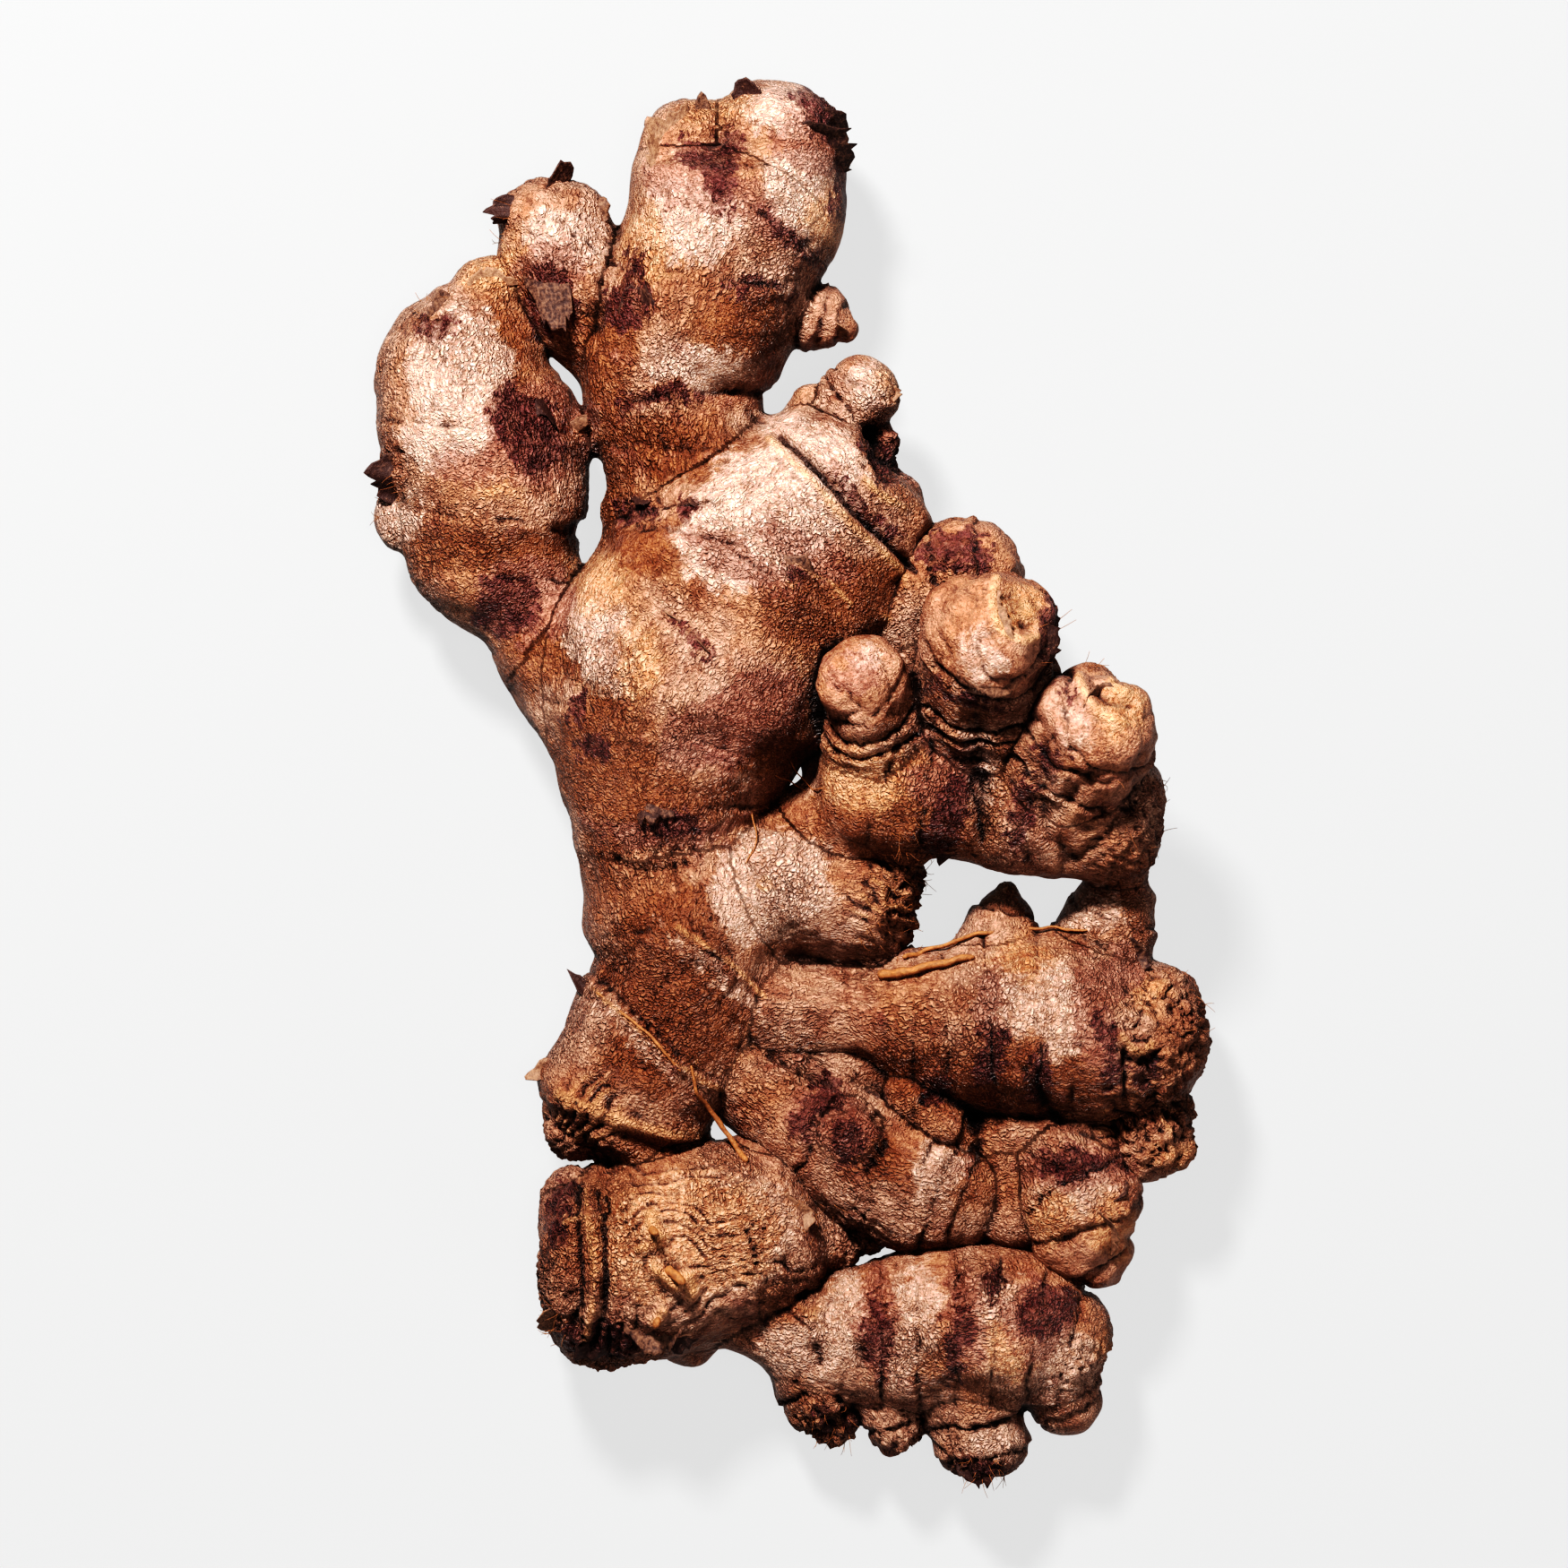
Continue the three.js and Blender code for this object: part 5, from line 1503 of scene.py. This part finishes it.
def thread_piece(name, points, faces):
    points = np.asarray(points)
    points[:, 2] = np.maximum(points[:, 2], THREAD_FLOOR)
    piece = mesh_object(name, points, faces)
    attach(piece, "root")
    piece.data.shade_smooth()
    return piece


threads = []
for number, (route, first, last) in enumerate(ROOTLETS, 1):
    seats = np.array([
        skin_at(x, y)[0] + (0, 0, lift_off + SEAT_SHARE * first) for x, y, lift_off in route
    ])
    path = route_points(seats, ROOTLET_STEP)
    share = np.linspace(0, 1, len(path))
    knots = 1 + KNOT_SHARE * value_noise(path / KNOT_SIZE, KNOT_SEED + number)
    radii = (first + (last - first) * share) * knots
    radii[[0, -1]] *= END_SHARE
    path = path + SWAY * np.stack([value_noise(path / SWAY_SIZE, SWAY_SEED + i) for i in range(3)], 1)
    threads.append(thread_piece(f"rootlet_{number}", *tube(path, radii, TUBE_SIDES)))

chance = np.random.default_rng(HAIR_SEED)
hair_points, hair_faces = [], []
for x, y, radius, turn, spread, count in FRINGES:
    for _ in range(count):
        seat, outward = skin_at(x + radius * chance.uniform(-1, 1), y + radius * chance.uniform(-1, 1))
        heading = math.radians(turn + spread * chance.uniform(-1, 1))
        growth = unit(np.array([math.cos(heading), math.sin(heading), 0.1]) + HAIR_RISE * outward)
        bendy = HAIR_BEND * chance.normal(size=3)
        steps = np.linspace(HAIR_ROOT, 1, HAIR_POINTS)[:, None] * chance.uniform(*HAIR_LENGTH)
        start = sum(len(group) for group in hair_points)
        path = seat + steps * growth + bendy * steps**2 * HAIR_CURL
        taper = np.linspace(HAIR_RADIUS, HAIR_RADIUS / 2, HAIR_POINTS)
        some_points, some_faces = tube(path, taper, HAIR_SIDES)
        hair_points.append(some_points)
        hair_faces += [tuple(start + i for i in face) for face in some_faces]
threads.append(thread_piece("root_hairs", np.vstack(hair_points), hair_faces))
print(len(ROOTLETS), "rootlets and", sum(row[-1] for row in FRINGES), "hairs")

# %% [markdown]
# ## Papery and woody finishes
# A dry scale leaf is thin fibrous paper, matt, streaked along its length, from straw to dark purple-brown.
# A rootlet is a woody thread, matt and wrinkled, brown with paler worn spots.

# %% Scale leaf and rootlet materials
STREAK_SPREAD, STREAK_SHIFT = 1.2, -0.6  # how the streaks vary a leaf's tone
DARK_END, LIGHT_END = 0.1, 0.95
DRY_BUMP, DRY_DEPTH = 0.8, 0.3  # strength, and depth in mm
DRY_ROUGHNESS, DRY_IOR = 0.66, 1.5
STREAKS_OF_LEAF, STREAKS_OF_ROOTLET = (1900.0, 1400.0, 1900.0), (1500.0, 1500.0, 1500.0)  # per metre


def dry_material(name, dark, light, steps, attribute_name=None):
    """Matt fibrous stuff: two colours in streaks, with the streaks as bump."""
    material, tree = new_material(name)
    place = add(tree, "ShaderNodeTexCoord").outputs["Object"]
    streak_place = add(tree, "ShaderNodeVectorMath", {"operation": "MULTIPLY"}, _0=place, _1=steps).outputs[0]
    streak = add(tree, "ShaderNodeTexNoise", None, Vector=streak_place, Scale=1.0, Detail=5.0, Roughness=0.65)
    amount = streak.outputs["Fac"]
    if attribute_name:
        tone = add(tree, "ShaderNodeAttribute", {"attribute_name": attribute_name}).outputs["Fac"]
        shift = {"operation": "MULTIPLY_ADD"}
        amount = add(tree, "ShaderNodeMath", shift, _0=amount, _1=STREAK_SPREAD, _2=STREAK_SHIFT).outputs[0]
        clamped = {"operation": "ADD", "use_clamp": True}
        amount = add(tree, "ShaderNodeMath", clamped, _0=amount, _1=tone).outputs[0]
    ramp_node = add(tree, "ShaderNodeValToRGB", None, Fac=amount)
    dark_end, light_end = ramp_node.color_ramp.elements
    dark_end.color, light_end.color = linear(dark), linear(light)
    dark_end.position, light_end.position = DARK_END, LIGHT_END
    bump = add(
        tree, "ShaderNodeBump", None,
        Strength=DRY_BUMP, Distance=DRY_DEPTH * MM, Height=streak.outputs["Fac"],
    )
    shader = add(
        tree, "ShaderNodeBsdfPrincipled", None,
        Base_Color=ramp_node.outputs[0], Roughness=DRY_ROUGHNESS, Normal=bump.outputs[0], IOR=DRY_IOR,
    )
    add(tree, "ShaderNodeOutputMaterial", None, Surface=shader.outputs[0])
    return material


papery = dry_material("scale_leaf_paper", "#341A14", "#AC8268", STREAKS_OF_LEAF, "tone")
woody = dry_material("rootlet_wood", "#4C2614", "#B47A4C", STREAKS_OF_ROOTLET)
for piece in leaves:
    piece.data.materials.append(papery)
for piece in threads:
    piece.data.materials.append(woody)
print("finished", len(leaves) + len(threads), "small pieces")

# %% [markdown]
# ## Table, light and camera
# The table top is plain and pale. It glows a little of its own, which keeps the shadows on it faint. One
# soft light stands high beyond the far end of the hand and does most of the work, so each lobe is bright
# towards it and falls into shade on its near side. The others only lift the shade.

# %% Table, lights and camera
VIEW_WIDTH = 222.65  # width of the view at mid height of the hand, mm
MID_HEIGHT = 16.0  # mm
LENS, SENSOR = 200.0, 36.0  # mm
AIM = (-0.75, 0.19)  # mm
# how bright each level of light is shown: shade is deepened and the bright half barely changes
TONE_CURVE = [
    (0.04, 0.004), (0.09, 0.018), (0.16, 0.06), (0.26, 0.163), (0.41, 0.355), (0.58, 0.54), (0.8, 0.745),
]

TABLE_SIZE, TABLE_DROP = 6.0, 0.0002  # m
WALLS_RADIUS, WALLS_SEGMENTS, WALLS_RINGS = 3.2, 48, 24  # m
PAPER, PAPER_GLOW, PAPER_GLOW_STRENGTH, PAPER_ROUGHNESS = "#383838", "#F5F5F5", 0.85, 0.9
WALLS_GLOW, WALLS_GLOW_STRENGTH = "#F1F1F1", 0.8
ROOM_LIGHT, ROOM_LIGHT_STRENGTH = "#F2F0EE", 0.05
FARTHEST = 20.0  # m
# place and size (m) and power (W) of each light
LIGHTS = {
    "key": ((-0.22, 0.52, 0.66), 0.14, 23.0),
    "front": ((0.10, 0.0, 1.2), 0.3, 4.0),
    "low_fill": ((0.75, -0.75, 0.3), 0.5, 3.6),
    "low_front": ((-0.15, -1.0, 0.22), 0.6, 2.4),
    "low_right": ((1.0, 0.2, 0.16), 0.6, 2.4),
}
LIGHTS_AIM = (0, 0, 0.01)  # m

bpy.ops.mesh.primitive_plane_add(size=TABLE_SIZE, location=(0, 0, -TABLE_DROP))
table_top = bpy.context.object
table_top.name = "table_top"
table_top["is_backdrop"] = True
material, tree = new_material("pale_paper")
paper = add(
    tree, "ShaderNodeBsdfPrincipled", None,
    Base_Color=linear(PAPER), Roughness=PAPER_ROUGHNESS,
    Emission_Color=linear(PAPER_GLOW), Emission_Strength=PAPER_GLOW_STRENGTH,
)
add(tree, "ShaderNodeOutputMaterial", None, Surface=paper.outputs[0])
table_top.data.materials.append(material)

# the walls of the room: a pale dome that the low views see behind the table, and that sheds no light
bpy.ops.mesh.primitive_uv_sphere_add(
    segments=WALLS_SEGMENTS, ring_count=WALLS_RINGS, radius=WALLS_RADIUS, location=(0, 0, 0)
)
walls = bpy.context.object
walls.name = "walls"
walls.data.shade_smooth()
walls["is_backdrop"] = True
wall_paint, tree = new_material("wall_paint")
glow = add(tree, "ShaderNodeEmission", None, Color=linear(WALLS_GLOW), Strength=WALLS_GLOW_STRENGTH)
add(tree, "ShaderNodeOutputMaterial", None, Surface=glow.outputs[0])
walls.data.materials.append(wall_paint)
for backdrop in (table_top, walls):
    backdrop.visible_diffuse = False
walls.visible_glossy = walls.visible_shadow = False

camera_data = bpy.data.cameras.new("camera")
camera_data.lens, camera_data.sensor_width = LENS, SENSOR
camera_data.clip_end = FARTHEST
camera = bpy.data.objects.new("camera", camera_data)
bpy.context.scene.collection.objects.link(camera)
distance = VIEW_WIDTH / 2 / (SENSOR / 2 / LENS)
camera.location = (AIM[0] * MM, AIM[1] * MM, (MID_HEIGHT + distance) * MM)
bpy.context.scene.camera = camera


def soft_light(name, place, size, power):
    """A round area light that shines at the middle of the hand."""
    light = bpy.data.lights.new(name, "AREA")
    light.shape, light.size, light.energy = "DISK", size, power
    lamp = bpy.data.objects.new(name, light)
    lamp.location = place
    lamp.rotation_euler = (Vector(LIGHTS_AIM) - Vector(place)).to_track_quat("-Z", "Y").to_euler()
    bpy.context.scene.collection.objects.link(lamp)


for name, (place, size, power) in LIGHTS.items():
    soft_light(name, place, size, power)
world = bpy.data.worlds.new("room")
bpy.context.scene.world = world
world.use_nodes = True
air = world.node_tree.nodes["Background"].inputs
air["Color"].default_value = linear(ROOM_LIGHT)
air["Strength"].default_value = ROOM_LIGHT_STRENGTH
shown_as = bpy.context.scene.view_settings
shown_as.view_transform = "Standard"
shown_as.look = "None"
shown_as.use_curve_mapping = True
tones = shown_as.curve_mapping
for level, shown in TONE_CURVE:
    tones.curves[3].points.new(level, shown)
tones.update()

# %% [markdown]
# ## The size of the hand
# The finished hand has to fill the same box as the solid it stands for; both boxes are printed.

# %% Size and finish
visual_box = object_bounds()
sizes = {"cad": [list(corner) for corner in cad_box], "visual": [list(corner) for corner in visual_box]}
for name, (low_corner, high_corner) in sizes.items():
    print(name, "box, mm:", [round((b - a) / MM, 1) for a, b in zip(low_corner, high_corner)])
